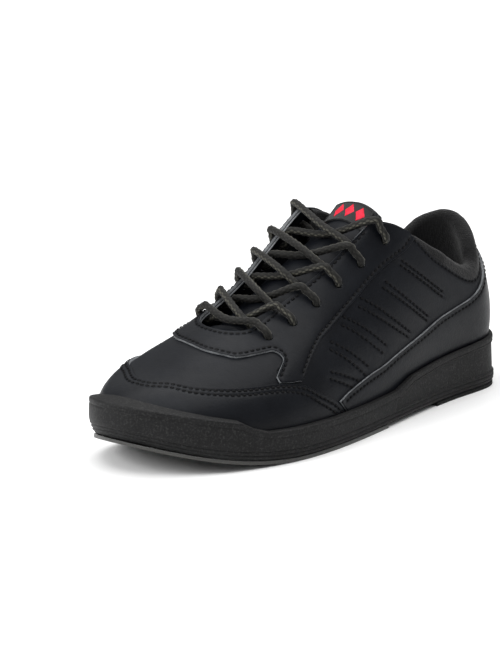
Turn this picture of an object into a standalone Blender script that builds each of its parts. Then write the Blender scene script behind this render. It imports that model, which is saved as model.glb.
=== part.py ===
"""Left bowling shoe: cup sole, stitched upper, padded collar, tongue and lace.

The shoe is drawn in a last frame (heel at x = 0, toe at +x, outer side at +y, ground at z = 0) and
shifted so that the object's origin is the centre of its footprint. Sizes are in metres.
"""
import math

import bmesh
import bpy
import numpy as np
from mathutils import Vector
from mathutils.geometry import delaunay_2d_cdt

MM = 0.001

# ---------------------------------------------------------------------------
# Driving dimensions
# ---------------------------------------------------------------------------
SOLE_LENGTH = 300.0 * MM
BALL_WIDTH = 107.0 * MM
LAST_HEIGHT = 118.0 * MM
TOE_SPRING = 19.0 * MM
HEEL_BED = 20.0 * MM
BALL_BED = 11.5 * MM
UPPER_INSET = 7.5 * MM

TREAD_THICKNESS = 2.0 * MM
HEEL_TREAD_LENGTH = 74.0 * MM
FOREPART_START = 128.0 * MM
CUP_FLOOR = 2.6 * MM
SHANK_LENGTH = 96.0 * MM
SHANK_WIDTH = 14.0 * MM
SHANK_THICKNESS = 1.4 * MM
SHANK_START = 62.0 * MM
BOARD_THICKNESS = 2.0 * MM
SOCK_THICKNESS = 4.2 * MM
SOCK_SIDE_GAP = 1.0 * MM

LEATHER = 1.3 * MM
STIFFENER = 1.2 * MM
LINING = 0.8 * MM
COLLAR_PADDING = 5.2 * MM
COLLAR_BAND = 8.5 * MM
TOE_PUFF = 0.5 * MM
TONGUE_FOAM = 3.6 * MM
LABEL_THICKNESS = 0.7 * MM

LACE_DIAMETER = 4.2 * MM
EYELET_RADIUS = 3.1 * MM
AGLET_DIAMETER = 3.8 * MM

LAYER_GAP = 0.5 * MM
BUTT_GAP = 0.4 * MM
FACET_STEP = 7.5 * MM
FACET_LENGTH = 18.75 * MM
CLEARANCE = 0.3 * MM

# Stations run from the back of the heel (0) along one side to the toe tip (8).
# Edge of the sole: share of the length, then shares of the ball width outwards and inwards.
SOLE_EDGE = [
    (0.000, 0.000, 0.000),
    (0.047, 0.285, -0.271),
    (0.167, 0.336, -0.346),
    (0.333, 0.395, -0.315),
    (0.500, 0.475, -0.350),
    (0.673, 0.510, -0.450),
    (0.820, 0.420, -0.492),
    (0.933, 0.245, -0.415),
    (1.000, -0.093, -0.093),
]
# Top line and instep ridge: share of the length, centre and half width as shares of the ball width,
# height as a share of the last height, and how much the inner side stands above that height.
TOP_LINE = [
    (0.033, -0.010, 0.000, 0.855, 0.000),
    (0.072, -0.010, 0.220, 0.773, 0.038),
    (0.150, -0.010, 0.305, 0.708, 0.028),
    (0.347, -0.030, 0.275, 0.967, 0.003),
    (0.500, -0.080, 0.110, 0.855, 0.000),
    (0.667, -0.130, 0.000, 0.610, 0.000),
    (0.773, -0.130, 0.000, 0.510, 0.000),
    (0.833, -0.115, 0.000, 0.450, 0.000),
    (0.853, -0.110, 0.000, 0.430, 0.000),
]
# Handles of the ribs, in millimetres: outwards and up from the bottom, outwards and up from the top.
RIBS_OUTER = [
    (8, 24, 5, -26),
    (7, 24, 6, -26),
    (7, 22, 5, -22),
    (9, 32, 10, -28),
    (5, 36, 22, -6),
    (4, 33, 38, 0),
    (4, 24, 34, 0),
    (4, 20, 24, 0),
    (4, 18, 20, 0),
]
RIBS_INNER = [
    (8, 24, 5, -26),
    (7, 24, 6, -26),
    (7, 22, 5, -22),
    (9, 34, 12, -26),
    (5, 40, 22, -4),
    (4, 42, 26, 0),
    (4, 36, 26, 0),
    (4, 26, 22, 0),
    (4, 18, 20, 0),
]
STATIONS = 16
RIDGE_START = 5.0

# Top of the sole's wall: share of the length, height in millimetres.
WALL_TOP = [
    (0.00, 31.5), (0.07, 30.6), (0.24, 27.5), (0.33, 24.7), (0.385, 19.2), (0.48, 18.3),
    (0.60, 18.3), (0.72, 19.0), (0.77, 19.9), (0.80, 22.9), (0.83, 28.0), (0.883, 31.8),
    (0.937, 36.0), (0.98, 39.4), (1.00, 41.0),
]

# Style lines on the upper: (station, share of the rib from the bottom to the top).
CAP_LINE = [
    (4.25, 0.02), (4.41, 0.11), (4.71, 0.21), (4.95, 0.30), (5.30, 0.38), (5.96, 0.46),
    (6.55, 0.56), (7.08, 0.70), (8.00, 0.77),
]
SADDLE_FRONT = [
    (5.22, 0.42), (5.11, 0.46), (5.01, 0.50), (5.05, 0.57), (5.20, 0.61), (5.51, 0.67),
    (5.64, 0.73), (5.86, 0.86), (5.97, 1.00),
]
SADDLE_REAR = [
    (4.92, 0.32), (4.70, 0.40), (4.46, 0.46), (4.23, 0.49), (3.67, 0.59), (2.99, 0.79), (2.74, 0.94),
]
THROAT = [
    (3.20, 1.00), (3.50, 0.90), (3.89, 0.81), (4.30, 0.765), (4.63, 0.76), (4.92, 0.765),
    (5.13, 0.80), (5.30, 0.90), (5.36, 1.00),
]
FOXING_OUTER = [
    (4.38, 0.12), (4.18, 0.15), (3.82, 0.18), (3.40, 0.21), (2.81, 0.31), (2.37, 0.47),
    (2.02, 0.61), (1.69, 0.71), (1.34, 0.76), (0.70, 0.78),
]
FOXING_INNER = [(3.10, 0.12), (2.55, 0.28), (2.05, 0.44), (1.55, 0.58), (1.25, 0.62), (0.70, 0.62)]
COLLAR_PANEL = [(2.95, 0.60), (2.45, 0.585), (1.95, 0.63), (1.62, 0.72), (1.42, 0.84)]
COLLAR_END = 3.08
FOAM_END = 2.95
EYELETS = [(4.99, 0.662), (4.655, 0.630), (4.304, 0.635), (3.963, 0.670), (3.563, 0.735), (3.132, 0.870)]

# Tongue: share of the length, centre and half width as shares of the ball width, height and edge
# drop as shares of the last height.
TONGUE_LINE = [
    (0.748, -0.085, 0.180, 0.495, 0.030),
    (0.667, -0.070, 0.225, 0.530, 0.064),
    (0.583, -0.055, 0.240, 0.640, 0.100),
    (0.500, -0.045, 0.240, 0.762, 0.112),
    (0.417, -0.035, 0.215, 0.872, 0.105),
    (0.360, -0.025, 0.195, 0.962, 0.080),
    (0.325, -0.025, 0.170, 1.030, 0.055),
]
# The lace below its last holes, as held by the flaps, then its free ends, which hang inside the
# shoe: points in mm from the heel.
LACE_TUCK_OUTER = [(110.2, 26.6, 103.9), (109.7, 24.6, 103.0), (108.8, 23.2, 101.4), (107.2, 22.5, 99.0)]
LACE_TUCK_INNER = [(110.9, -34.0, 105.0), (110.5, -31.6, 104.2), (109.7, -29.7, 102.3), (108.0, -28.7, 99.6)]
LACE_END_OUTER = [
    (107.0, 22.4, 98.7), (104.5, 22.3, 94.8), (101.9, 22.5, 91.4), (99.0, 22.8, 87.4), (96.7, 23.0, 83.4),
    (94.9, 23.0, 79.4), (93.5, 22.9, 75.4), (92.4, 22.7, 71.4), (91.6, 22.4, 67.4), (91.2, 22.2, 63.5),
]
LACE_END_INNER = [
    (107.8, -28.6, 99.3), (105.5, -28.2, 95.9), (102.9, -28.0, 92.5), (100.0, -28.1, 88.5), (97.7, -28.1, 84.5),
    (95.9, -28.0, 80.5), (94.5, -27.8, 76.5), (93.4, -27.5, 72.5), (92.6, -27.1, 68.5), (92.2, -26.7, 64.5),
]
AGLET_OUTER = [(91.1, 22.1, 63.1), (90.8, 21.6, 53.0), (90.6, 21.0, 43.0)]
AGLET_INNER = [(92.1, -26.5, 64.1), (91.8, -25.2, 54.0), (91.6, -23.9, 44.0)]
# The laced stretch of the tongue leans down towards the outer side, as the instep does.
TONGUE_LEAN = 0.6 * MM


# ---------------------------------------------------------------------------
# Curves and the surface of the upper
# ---------------------------------------------------------------------------
def closed_spline(values):
    """Smooth closed curve through one value per station, as a function of the station number."""
    values = np.asarray(values, float)
    count = len(values)
    matrix = np.zeros((count, count))
    for i in range(count):
        matrix[i, i] = 4.0
        matrix[i, (i + 1) % count] += 1.0
        matrix[i, (i - 1) % count] += 1.0
    control = np.linalg.solve(matrix, 6.0 * values)

    def at(u):
        u = np.asarray(u, float) % count
        i = np.floor(u).astype(int)
        w = u - i
        return (
            (1 - w) ** 3 * control[(i - 1) % count]
            + (3 * w ** 3 - 6 * w ** 2 + 4) * control[i % count]
            + (-3 * w ** 3 + 3 * w ** 2 + 3 * w + 1) * control[(i + 1) % count]
            + w ** 3 * control[(i + 2) % count]
        ) / 6.0

    return at


def open_curve(points, per_span=4):
    """Points along a smooth curve through the given ones."""
    points = np.asarray(points, float)
    padded = np.vstack([2 * points[0] - points[1], points, 2 * points[-1] - points[-2]])
    result = []
    for i in range(len(points) - 1):
        p0, p1, p2, p3 = padded[i:i + 4]
        for w in np.arange(per_span) / per_span:
            result.append(
                0.5 * (2 * p1 + (p2 - p0) * w + (2 * p0 - 5 * p1 + 4 * p2 - p3) * w ** 2
                       + (3 * p1 - p0 - 3 * p2 + p3) * w ** 3)
            )
    result.append(points[-1])
    return np.array(result)


def style(points):
    """Style line of the upper, with points at even steps along it."""
    dense = open_curve(points, 12)
    x, y = chart(dense[:, 0], dense[:, 1])
    walked = np.concatenate([[0.0], np.cumsum(np.hypot(np.diff(x), np.diff(y)))])
    count = max(2, int(math.ceil(walked[-1] / FACET_STEP)))
    steps = np.linspace(0.0, walked[-1], count + 1)
    return [(float(np.interp(w, walked, dense[:, 0])), float(np.interp(w, walked, dense[:, 1]))) for w in steps]


def both_sides(outer, inner):
    """Closed spline with station values for the outer side and back along the inner side."""
    return closed_spline(list(outer) + list(inner)[7:0:-1])


def column(table, k, unit):
    return [row[k] * unit for row in table]


def mirrored(table, k, unit):
    return both_sides(column(table, k, unit), column(table, k, unit))


def signed(table, k, unit):
    """Positive on the outer side and negative on the inner side."""
    return both_sides(column(table, k, unit), column(table, k, -unit))


edge_x = mirrored(SOLE_EDGE, 0, SOLE_LENGTH)
edge_y = both_sides(column(SOLE_EDGE, 1, BALL_WIDTH), column(SOLE_EDGE, 2, BALL_WIDTH))
top_x = mirrored(TOP_LINE, 0, SOLE_LENGTH)
top_centre = mirrored(TOP_LINE, 1, BALL_WIDTH)
top_half = signed(TOP_LINE, 2, BALL_WIDTH)
top_height = mirrored(TOP_LINE, 3, LAST_HEIGHT)
top_tilt = signed(TOP_LINE, 4, LAST_HEIGHT)
handle_a_out, handle_a_up, handle_b_out, handle_b_up = [
    both_sides(column(RIBS_OUTER, k, MM), column(RIBS_INNER, k, MM)) for k in range(4)
]


def smooth(x):
    x = np.clip(x, 0.0, 1.0)
    return x * x * (3.0 - 2.0 * x)


def folded(u):
    """Station counted from the heel on either side, 0 to 8."""
    u = np.asarray(u, float) % STATIONS
    return np.where(u > 8.0, STATIONS - u, u)


def spring(x):
    """Lift of the sole towards the toe."""
    start = 0.683 * SOLE_LENGTH
    return TOE_SPRING * np.clip((x - start) / (SOLE_LENGTH - start), 0, None) ** 2


def bed_height(x):
    """Height of the bottom of the upper above the ground."""
    return BALL_BED + (HEEL_BED - BALL_BED) * smooth(1.0 - (x / SOLE_LENGTH - 0.15) / 0.42) + spring(x)


def wall_height(x):
    """Height of the top of the sole's wall."""
    shares = [w[0] for w in WALL_TOP]
    heights = [w[1] * MM for w in WALL_TOP]
    return np.interp(np.asarray(x) / SOLE_LENGTH, shares, heights)


def outward(u):
    """Unit normal of the sole's edge, in plan."""
    d = 0.001
    tx = edge_x(u + d) - edge_x(u - d)
    ty = edge_y(u + d) - edge_y(u - d)
    size = np.hypot(tx, ty)
    return -ty / size, tx / size


def inset_edge(u, inset):
    """Sole edge moved inwards, in plan."""
    nx, ny = outward(u)
    return edge_x(u) - nx * inset, edge_y(u) - ny * inset


def top_point(u):
    s = folded(u)
    fade = smooth(RIDGE_START - s)
    y = top_centre(u) + top_half(u) * fade
    z = top_height(u) - top_tilt(u) * fade
    return np.stack([top_x(u), y, z], -1)


def ridge_slope(u):
    s = np.clip(folded(u), 4.0, 7.7)
    d = 0.05
    return (top_height(s + d) - top_height(s - d)) / (top_x(s + d) - top_x(s - d))


def surface(u, t):
    """Point of the lasted upper: t = 0 at the bottom, 1 at the top line or ridge."""
    u, t = np.broadcast_arrays(np.asarray(u, float), np.asarray(t, float))
    nx, ny = outward(u)
    px, py = inset_edge(u, UPPER_INSET)
    p = np.stack([px, py, bed_height(px)], -1)
    n = np.stack([nx, ny, np.zeros_like(nx)], -1)
    up = np.array([0.0, 0.0, 1.0])
    a = p + n * handle_a_out(u)[..., None] + up * handle_a_up(u)[..., None]
    q = top_point(u)
    b_out = handle_b_out(u)
    b_up = handle_b_up(u) + smooth(folded(u) - 3.0) * nx * b_out * ridge_slope(u)
    b = q + n * b_out[..., None] + up * b_up[..., None]
    t = t[..., None]
    return (1 - t) ** 3 * p + 3 * t * (1 - t) ** 2 * a + 3 * t ** 2 * (1 - t) * b + t ** 3 * q


def normal(u, t):
    """Outward unit normal of the upper."""
    u, t = np.broadcast_arrays(np.asarray(u, float), np.asarray(t, float))
    d = 0.01
    inner_t = np.clip(t, 0.0, 0.96)
    along = surface(u + d, inner_t) - surface(u - d, inner_t)
    up = surface(u, np.clip(t + d, 0, 1)) - surface(u, np.clip(t - d, 0, 1))
    n = np.cross(up, along)
    return n / np.linalg.norm(n, axis=-1, keepdims=True)


def rib_length(u):
    t = np.linspace(0.0, 1.0, 9)
    points = [surface(u, k) for k in t]
    return sum(np.linalg.norm(points[i + 1] - points[i], axis=-1) for i in range(8))


def offset(u, t, out):
    """Point at a distance outside the upper; t may pass 1, straight on along the rib."""
    t = np.asarray(t, float)
    out = np.asarray(out, float)
    inside = np.clip(t, 0.0, 1.0)
    step = surface(u, 1.0) - surface(u, 0.97)
    step = step / np.linalg.norm(step, axis=-1, keepdims=True)
    beyond = ((t - inside) * rib_length(u))[..., None] * step
    return surface(u, inside) + beyond + normal(u, inside) * out[..., None]


# ---------------------------------------------------------------------------
# Building blocks
# ---------------------------------------------------------------------------
def clear_scene():
    for item in list(bpy.data.objects):
        bpy.data.objects.remove(item, do_unlink=True)


def material(name, colour, roughness, metallic=0.0):
    made = bpy.data.materials.new(name)
    made.use_nodes = True
    shader = made.node_tree.nodes["Principled BSDF"]
    shader.inputs["Base Color"].default_value = (*colour, 1.0)
    shader.inputs["Roughness"].default_value = roughness
    shader.inputs["Metallic"].default_value = metallic
    made.diffuse_color = (*colour, 1.0)
    return made


def footprint_centre():
    u = np.linspace(0, STATIONS, 1601)
    x, y = edge_x(u), edge_y(u)
    return Vector(((x.min() + x.max()) / 2, (y.min() + y.max()) / 2, 0.0))


def frame_empty():
    """Last frame, shifted so that the world origin is the centre of the footprint."""
    empty = bpy.data.objects.new("last_frame", None)
    bpy.context.collection.objects.link(empty)
    empty.location = -footprint_centre()
    return empty


def add_object(name, vertices, faces, look, parent, pivot=(0.0, 0.0, 0.0)):
    """Mesh object from last-frame points; its origin is its pivot."""
    mesh = bpy.data.meshes.new(name)
    pivot = Vector(pivot)
    mesh.from_pydata([Vector(v) - pivot for v in vertices], [], [list(map(int, f)) for f in faces])
    work = bmesh.new()
    work.from_mesh(mesh)
    bmesh.ops.remove_doubles(work, verts=work.verts, dist=1e-6)
    bmesh.ops.recalc_face_normals(work, faces=work.faces)
    work.to_mesh(mesh)
    work.free()
    mesh.shade_smooth()
    mesh.set_sharp_from_angle(angle=math.radians(40))
    made = bpy.data.objects.new(name, mesh)
    bpy.context.collection.objects.link(made)
    made.parent = parent
    made.location = pivot if parent.name == "last_frame" else (0.0, 0.0, 0.0)
    made.data.materials.append(look)
    return made


def station_grid():
    """Stations shared by all layers, so that stacked pieces have matching facets."""
    per_span = [int(math.ceil(n * SOLE_LENGTH / FACET_LENGTH / 16 - 0.01)) for n in (4, 4, 3, 3, 4, 4, 4, 4)]
    half = [i + k / n for i, n in enumerate(per_span) for k in range(n)]
    return np.array(half + [8.0] + [STATIONS - s for s in half[:0:-1]])


GRID_U = station_grid()
GRID_T = np.linspace(0.0, 1.0, 10)


def stations_between(first, last):
    """Grid stations from first to last, which may be below 0 or above 16, with both ends."""
    wide = np.concatenate([GRID_U - STATIONS, GRID_U, GRID_U + STATIONS])
    low, high = min(first, last), max(first, last)
    inner = wide[(wide > low + 0.08) & (wide < high - 0.08)]
    result = np.concatenate([[low], inner, [high]])
    return result if last > first else result[::-1]


def level(first, last, t):
    """Outline stretch at one share of the ribs."""
    return [(u, t) for u in stations_between(first, last)]


def upright(u, first, last):
    """Outline stretch along one rib."""
    inner = [t for t in GRID_T if min(first, last) + 0.04 < t < max(first, last) - 0.04]
    if last < first:
        inner = inner[::-1]
    return [(u, t) for t in [first] + inner + [last]]


def shifted(points, du, dt):
    return [(u + du, t + dt) for u, t in points]


def chart(u, t):
    """Flat map of the upper, used to lay out its facets."""
    nx, ny = outward(u)
    q = top_point(u)
    reach = rib_length(u) * (1.0 - t)
    return q[..., 0] + nx * reach, q[..., 1] + ny * reach


def inside_polygon(x, y, polygon):
    inside = np.zeros(np.shape(x), bool)
    px, py = polygon[:, 0], polygon[:, 1]
    j = len(polygon) - 1
    for i in range(len(polygon)):
        crosses = (py[i] > y) != (py[j] > y)
        slope = (px[j] - px[i]) / ((py[j] - py[i]) if py[j] != py[i] else 1e-12)
        inside ^= crosses & (x < px[i] + slope * (y - py[i]))
        j = i
    return inside


def edge_distance(x, y, polygon):
    best = np.full(np.shape(x), 1e9)
    for i in range(len(polygon)):
        a, b = polygon[i - 1], polygon[i]
        d = b - a
        w = np.clip(((x - a[0]) * d[0] + (y - a[1]) * d[1]) / max(d @ d, 1e-12), 0, 1)
        best = np.minimum(best, np.hypot(x - a[0] - w * d[0], y - a[1] - w * d[1]))
    return best


def facets(outline, holes=()):
    """Triangles that fill an outline on the flat map; returns (u, t) of the points and the faces."""
    loops = [np.array(outline, float)] + [np.array(h, float) for h in holes]
    flat = [np.stack(chart(loop[:, 0], loop[:, 1]), -1) for loop in loops]
    grid_u, grid_t = np.meshgrid(np.concatenate([GRID_U, GRID_U - STATIONS]), GRID_T[1:], indexing="ij")
    grid_u, grid_t = grid_u.ravel(), grid_t.ravel()
    keep = ~((grid_t > 0.999) & (grid_u % STATIONS > 8.0) & (folded(grid_u) >= RIDGE_START))
    low, high = loops[0][:, 0].min(), loops[0][:, 0].max()
    keep &= (grid_u >= min(low, 0.0)) & (grid_u < min(low, 0.0) + STATIONS)
    grid_u, grid_t = grid_u[keep], grid_t[keep]
    gx, gy = chart(grid_u, grid_t)
    wanted = inside_polygon(gx, gy, flat[0]) & (edge_distance(gx, gy, flat[0]) > 3.0 * MM)
    for hole in flat[1:]:
        wanted &= ~inside_polygon(gx, gy, hole) & (edge_distance(gx, gy, hole) > 2.5 * MM)
    points = np.vstack(flat + [np.stack([gx[wanted], gy[wanted]], -1)])
    where = np.vstack(loops + [np.stack([grid_u[wanted], grid_t[wanted]], -1)])
    edges = []
    start = 0
    for loop in loops:
        count = len(loop)
        edges += [(start + i, start + (i + 1) % count) for i in range(count)]
        start += count
    done = delaunay_2d_cdt([Vector(p) for p in points], edges, [], 0, 1e-7)
    found, triangles, origins = done[0], done[2], done[3]
    spots = np.array([where[o[0]] for o in origins])
    flat_found = np.array([tuple(v) for v in found])
    faces = []
    for triangle in triangles:
        cx, cy = flat_found[list(triangle)].mean(0)
        solid = inside_polygon(np.array(cx), np.array(cy), flat[0])
        for hole in flat[1:]:
            solid &= ~inside_polygon(np.array(cx), np.array(cy), hole)
        if solid:
            faces.append(tuple(triangle))
    used = sorted({i for face in faces for i in face})
    order = {old: new for new, old in enumerate(used)}
    return spots[used], [tuple(order[i] for i in face) for face in faces]


def border(faces):
    """Directed edges that belong to one face only."""
    seen = {}
    for face in faces:
        for i in range(len(face)):
            a, b = face[i - 1], face[i]
            seen[(a, b)] = True
    return [(a, b) for a, b in seen if (b, a) not in seen]


def thicken(outer, inner, faces):
    """Closed shell between two copies of the same facets."""
    count = len(outer)
    closed = [tuple(f) for f in faces]
    closed += [tuple(i + count for i in reversed(f)) for f in faces]
    closed += [(b, a, a + count, b + count) for a, b in border(faces)]
    return np.vstack([outer, inner]), closed


def upper_piece(name, outline, low, high, look, parent, holes=()):
    """Piece of the upper between two distances from the lasted surface."""
    spots, faces = facets(outline, holes)
    base = surface(spots[:, 0], spots[:, 1])
    out = normal(spots[:, 0], spots[:, 1])
    vertices, closed = thicken(base + out * high, base + out * low, faces)
    return add_object(name, vertices, closed, look, parent)


def sweep(name, sections, look, parent, closed=False):
    """Solid through a row of closed sections; its ends are capped unless it closes on itself."""
    sections = [np.asarray(s, float) for s in sections]
    count, size = len(sections), len(sections[0])
    faces = []
    for i in range(count if closed else count - 1):
        j = (i + 1) % count
        for k in range(size):
            m = (k + 1) % size
            faces.append((i * size + k, i * size + m, j * size + m, j * size + k))
    if not closed:
        faces.append(tuple(range(size)))
        faces.append(tuple(range((count - 1) * size, count * size))[::-1])
    return add_object(name, np.vstack(sections), faces, look, parent)


def plate(name, stations, inset, low, high, look, parent, pivot=(0.0, 0.0, 0.0)):
    """Plate with the sole's outline, made of cross strips from one side to the other."""
    outer = [np.array(inset_edge(np.array(s), inset)) for s in stations]
    inner = [np.array(inset_edge(np.array(STATIONS - s), inset)) for s in stations]
    rows = [[outer[i], (outer[i] + inner[i]) / 2, inner[i]] for i in range(len(stations))]
    points = np.array(rows).reshape(-1, 2)
    faces = []
    for i in range(len(stations) - 1):
        for k in range(2):
            a = i * 3 + k
            faces.append((a, a + 1, a + 4, a + 3))
    top = np.column_stack([points, high(points[:, 0])])
    bottom = np.column_stack([points, low(points[:, 0])])
    vertices, closed = thicken(top, bottom, faces)
    return add_object(name, vertices, closed, look, parent, pivot)


def station_at(x, inset):
    """Station on the outer side where the inset edge reaches a length."""
    low, high = 0.0, 8.0
    for _ in range(50):
        middle = (low + high) / 2
        if inset_edge(np.array(middle), inset)[0] < x:
            low = middle
        else:
            high = middle
    return (low + high) / 2


# ---------------------------------------------------------------------------
# Bottom
# ---------------------------------------------------------------------------
OVERLAY_LOW = LAYER_GAP
OVERLAY_HIGH = LAYER_GAP + LEATHER
STIFFENER_HIGH = -LEATHER - LAYER_GAP
STIFFENER_LOW = STIFFENER_HIGH - STIFFENER
LINING_HIGH = STIFFENER_LOW - LAYER_GAP
LINING_LOW = LINING_HIGH - LINING
CUP_INNER = OVERLAY_HIGH + LAYER_GAP


def share_at_height(u, height):
    """Share of the rib at which the upper reaches a height."""
    low = np.zeros_like(u)
    high = np.full_like(u, 0.8)
    for _ in range(40):
        middle = (low + high) / 2
        below = surface(u, middle)[:, 2] < height
        low = np.where(below, middle, low)
        high = np.where(below, high, middle)
    return (low + high) / 2


def floor_height(x):
    return TREAD_THICKNESS + CLEARANCE + CUP_FLOOR + spring(x)


def make_cupsole(look, parent):
    """Rubber cup: a floor, and a wall that follows the upper."""
    u = GRID_U
    top = wall_height(edge_x(u))
    below = lambda inset, z: np.column_stack([*inset_edge(u, inset), z])
    lift = spring(edge_x(u))
    share = share_at_height(u, top)
    wall = [
        below(1.2 * MM, TREAD_THICKNESS + CLEARANCE + lift),
        below(0.0, 5.5 * MM + lift),
        below(0.6 * MM, top - 1.2 * MM),
        below(1.3 * MM, top),
    ]
    wall += [offset(u, share * k / 3, np.full(len(u), CUP_INNER)) for k in (3, 2, 1, 0)]
    rim = wall[-1].copy()
    rim[:, 2] = floor_height(rim[:, 0])
    wall.append(rim)
    count = len(u)
    vertices = np.vstack(wall)
    faces = []
    for k in range(len(wall) - 1):
        for i in range(count):
            j = (i + 1) % count
            faces.append((k * count + i, k * count + j, (k + 1) * count + j, (k + 1) * count + i))
    half = count // 2
    for k, turn in ((0, 1), (len(wall) - 1, -1)):
        for i in range(half):
            quad = [k * count + v for v in (i, i + 1, (count - i - 1) % count, (count - i) % count)]
            quad = list(dict.fromkeys(quad))
            faces.append(tuple(quad[::turn]))
    return add_object("cupsole", vertices, faces, look, parent)


def make_treads(slide_look, rubber_look, parent):
    """Thin slide pad under the forefoot and rubber pad under the heel."""
    edge = 0.8 * MM
    low = lambda x: spring(x)
    high = lambda x: spring(x) + TREAD_THICKNESS
    start = station_at(FOREPART_START, edge)
    stations = [start] + [s for s in GRID_U if start + 0.1 < s < 7.9] + [7.94]
    plate("slide_sole_pad", stations, edge, low, high, slide_look, parent)
    end = station_at(HEEL_TREAD_LENGTH, edge)
    stations = [0.06] + [s for s in GRID_U if 0.1 < s < end - 0.1] + [end]
    plate("heel_tread", stations, edge, low, high, rubber_look, parent)


def inner_stations():
    return [0.15] + [s for s in GRID_U if 0.2 < s < 7.8] + [7.85]


def make_filler(look, steel_look, parent):
    """Foam that fills the cup, with a slot for the shank."""
    inset = UPPER_INSET
    low = lambda x: floor_height(x) + CLEARANCE
    high = lambda x: bed_height(x) - CLEARANCE
    filler = plate("midsole_filler", inner_stations(), inset, low, high, look, parent)
    y = 0.01 * BALL_WIDTH

    def strip(start, end, half, drop, rise):
        result = []
        for x in np.linspace(start, end, 9):
            z = high(x)
            result.append([
                (x, y - half, z - drop), (x, y + half, z - drop), (x, y + half, z + rise), (x, y - half, z + rise)
            ])
        return result

    end = SHANK_START + SHANK_LENGTH
    half = SHANK_WIDTH / 2
    slot = strip(SHANK_START - CLEARANCE, end + CLEARANCE, half + CLEARANCE,
                 SHANK_THICKNESS + 2 * CLEARANCE, 2 * MM)
    cutter = sweep("shank_slot", slot, look, parent)
    cutter.hide_render = True
    cutter.display_type = "WIRE"
    cut = filler.modifiers.new("slot", "BOOLEAN")
    cut.object = cutter
    cut.operation = "DIFFERENCE"
    sweep("shank", strip(SHANK_START, end, half, SHANK_THICKNESS + CLEARANCE, -CLEARANCE), steel_look, parent)


def make_insole(board_look, sock_look, parent):
    """Lasting board, and the loose footbed over it."""
    inset = UPPER_INSET - LINING_LOW + CLEARANCE
    board_top = lambda x: bed_height(x) + BOARD_THICKNESS
    plate("insole_board", inner_stations(), inset, bed_height, board_top, board_look, parent)
    low = lambda x: board_top(x) + CLEARANCE
    high = lambda x: low(x) + SOCK_THICKNESS
    pivot = (0.93 * SOLE_LENGTH, 0.0, float(low(0.93 * SOLE_LENGTH)))
    plate("sock_liner", inner_stations(), inset + SOCK_SIDE_GAP, low, high, sock_look, parent, pivot)


# ---------------------------------------------------------------------------
# Upper
# ---------------------------------------------------------------------------
def band_share(u):
    """Share of the rib where the leather stops below the knitted band of the collar."""
    s = folded(u)
    covered = 1.0 - COLLAR_BAND / rib_length(u)
    return covered + (1.0 - covered) * smooth((s - 2.45) / 0.45)


def top_edge(first, last):
    return [(u, float(band_share(np.array(u)))) for u in stations_between(first, last)]


def round_hole(u, t, radius, sides=8):
    """Circle round a point of the upper, as (station, share) pairs."""
    d = 0.001
    along = (surface(u + d, t) - surface(u - d, t)) / (2 * d)
    up = (surface(u, t + d) - surface(u, t - d)) / (2 * d)
    e1 = along / np.linalg.norm(along)
    e2 = up - e1 * (up @ e1)
    e2 = e2 / np.linalg.norm(e2)
    matrix = np.array([[along @ e1, up @ e1], [along @ e2, up @ e2]])
    circle = []
    for k in range(sides):
        angle = 2 * math.pi * k / sides
        step = np.linalg.solve(matrix, [radius * math.cos(angle), radius * math.sin(angle)])
        circle.append((u + step[0], t + step[1]))
    return circle


def eyelet_holes(on_inner):
    spots = [(STATIONS - u, t) if on_inner else (u, t) for u, t in EYELETS]
    return [round_hole(u, t, EYELET_RADIUS) for u, t in spots]


def vamp_rear():
    """Rear edge of the vamp on the outer side, hidden under the saddle, from the bottom up."""
    low = [(5.12, 0.0), (5.14, 0.2)]
    return style(low + shifted(SADDLE_FRONT, -0.04, 0.010)[:-1] + [(5.92, 1.0)])


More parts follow.
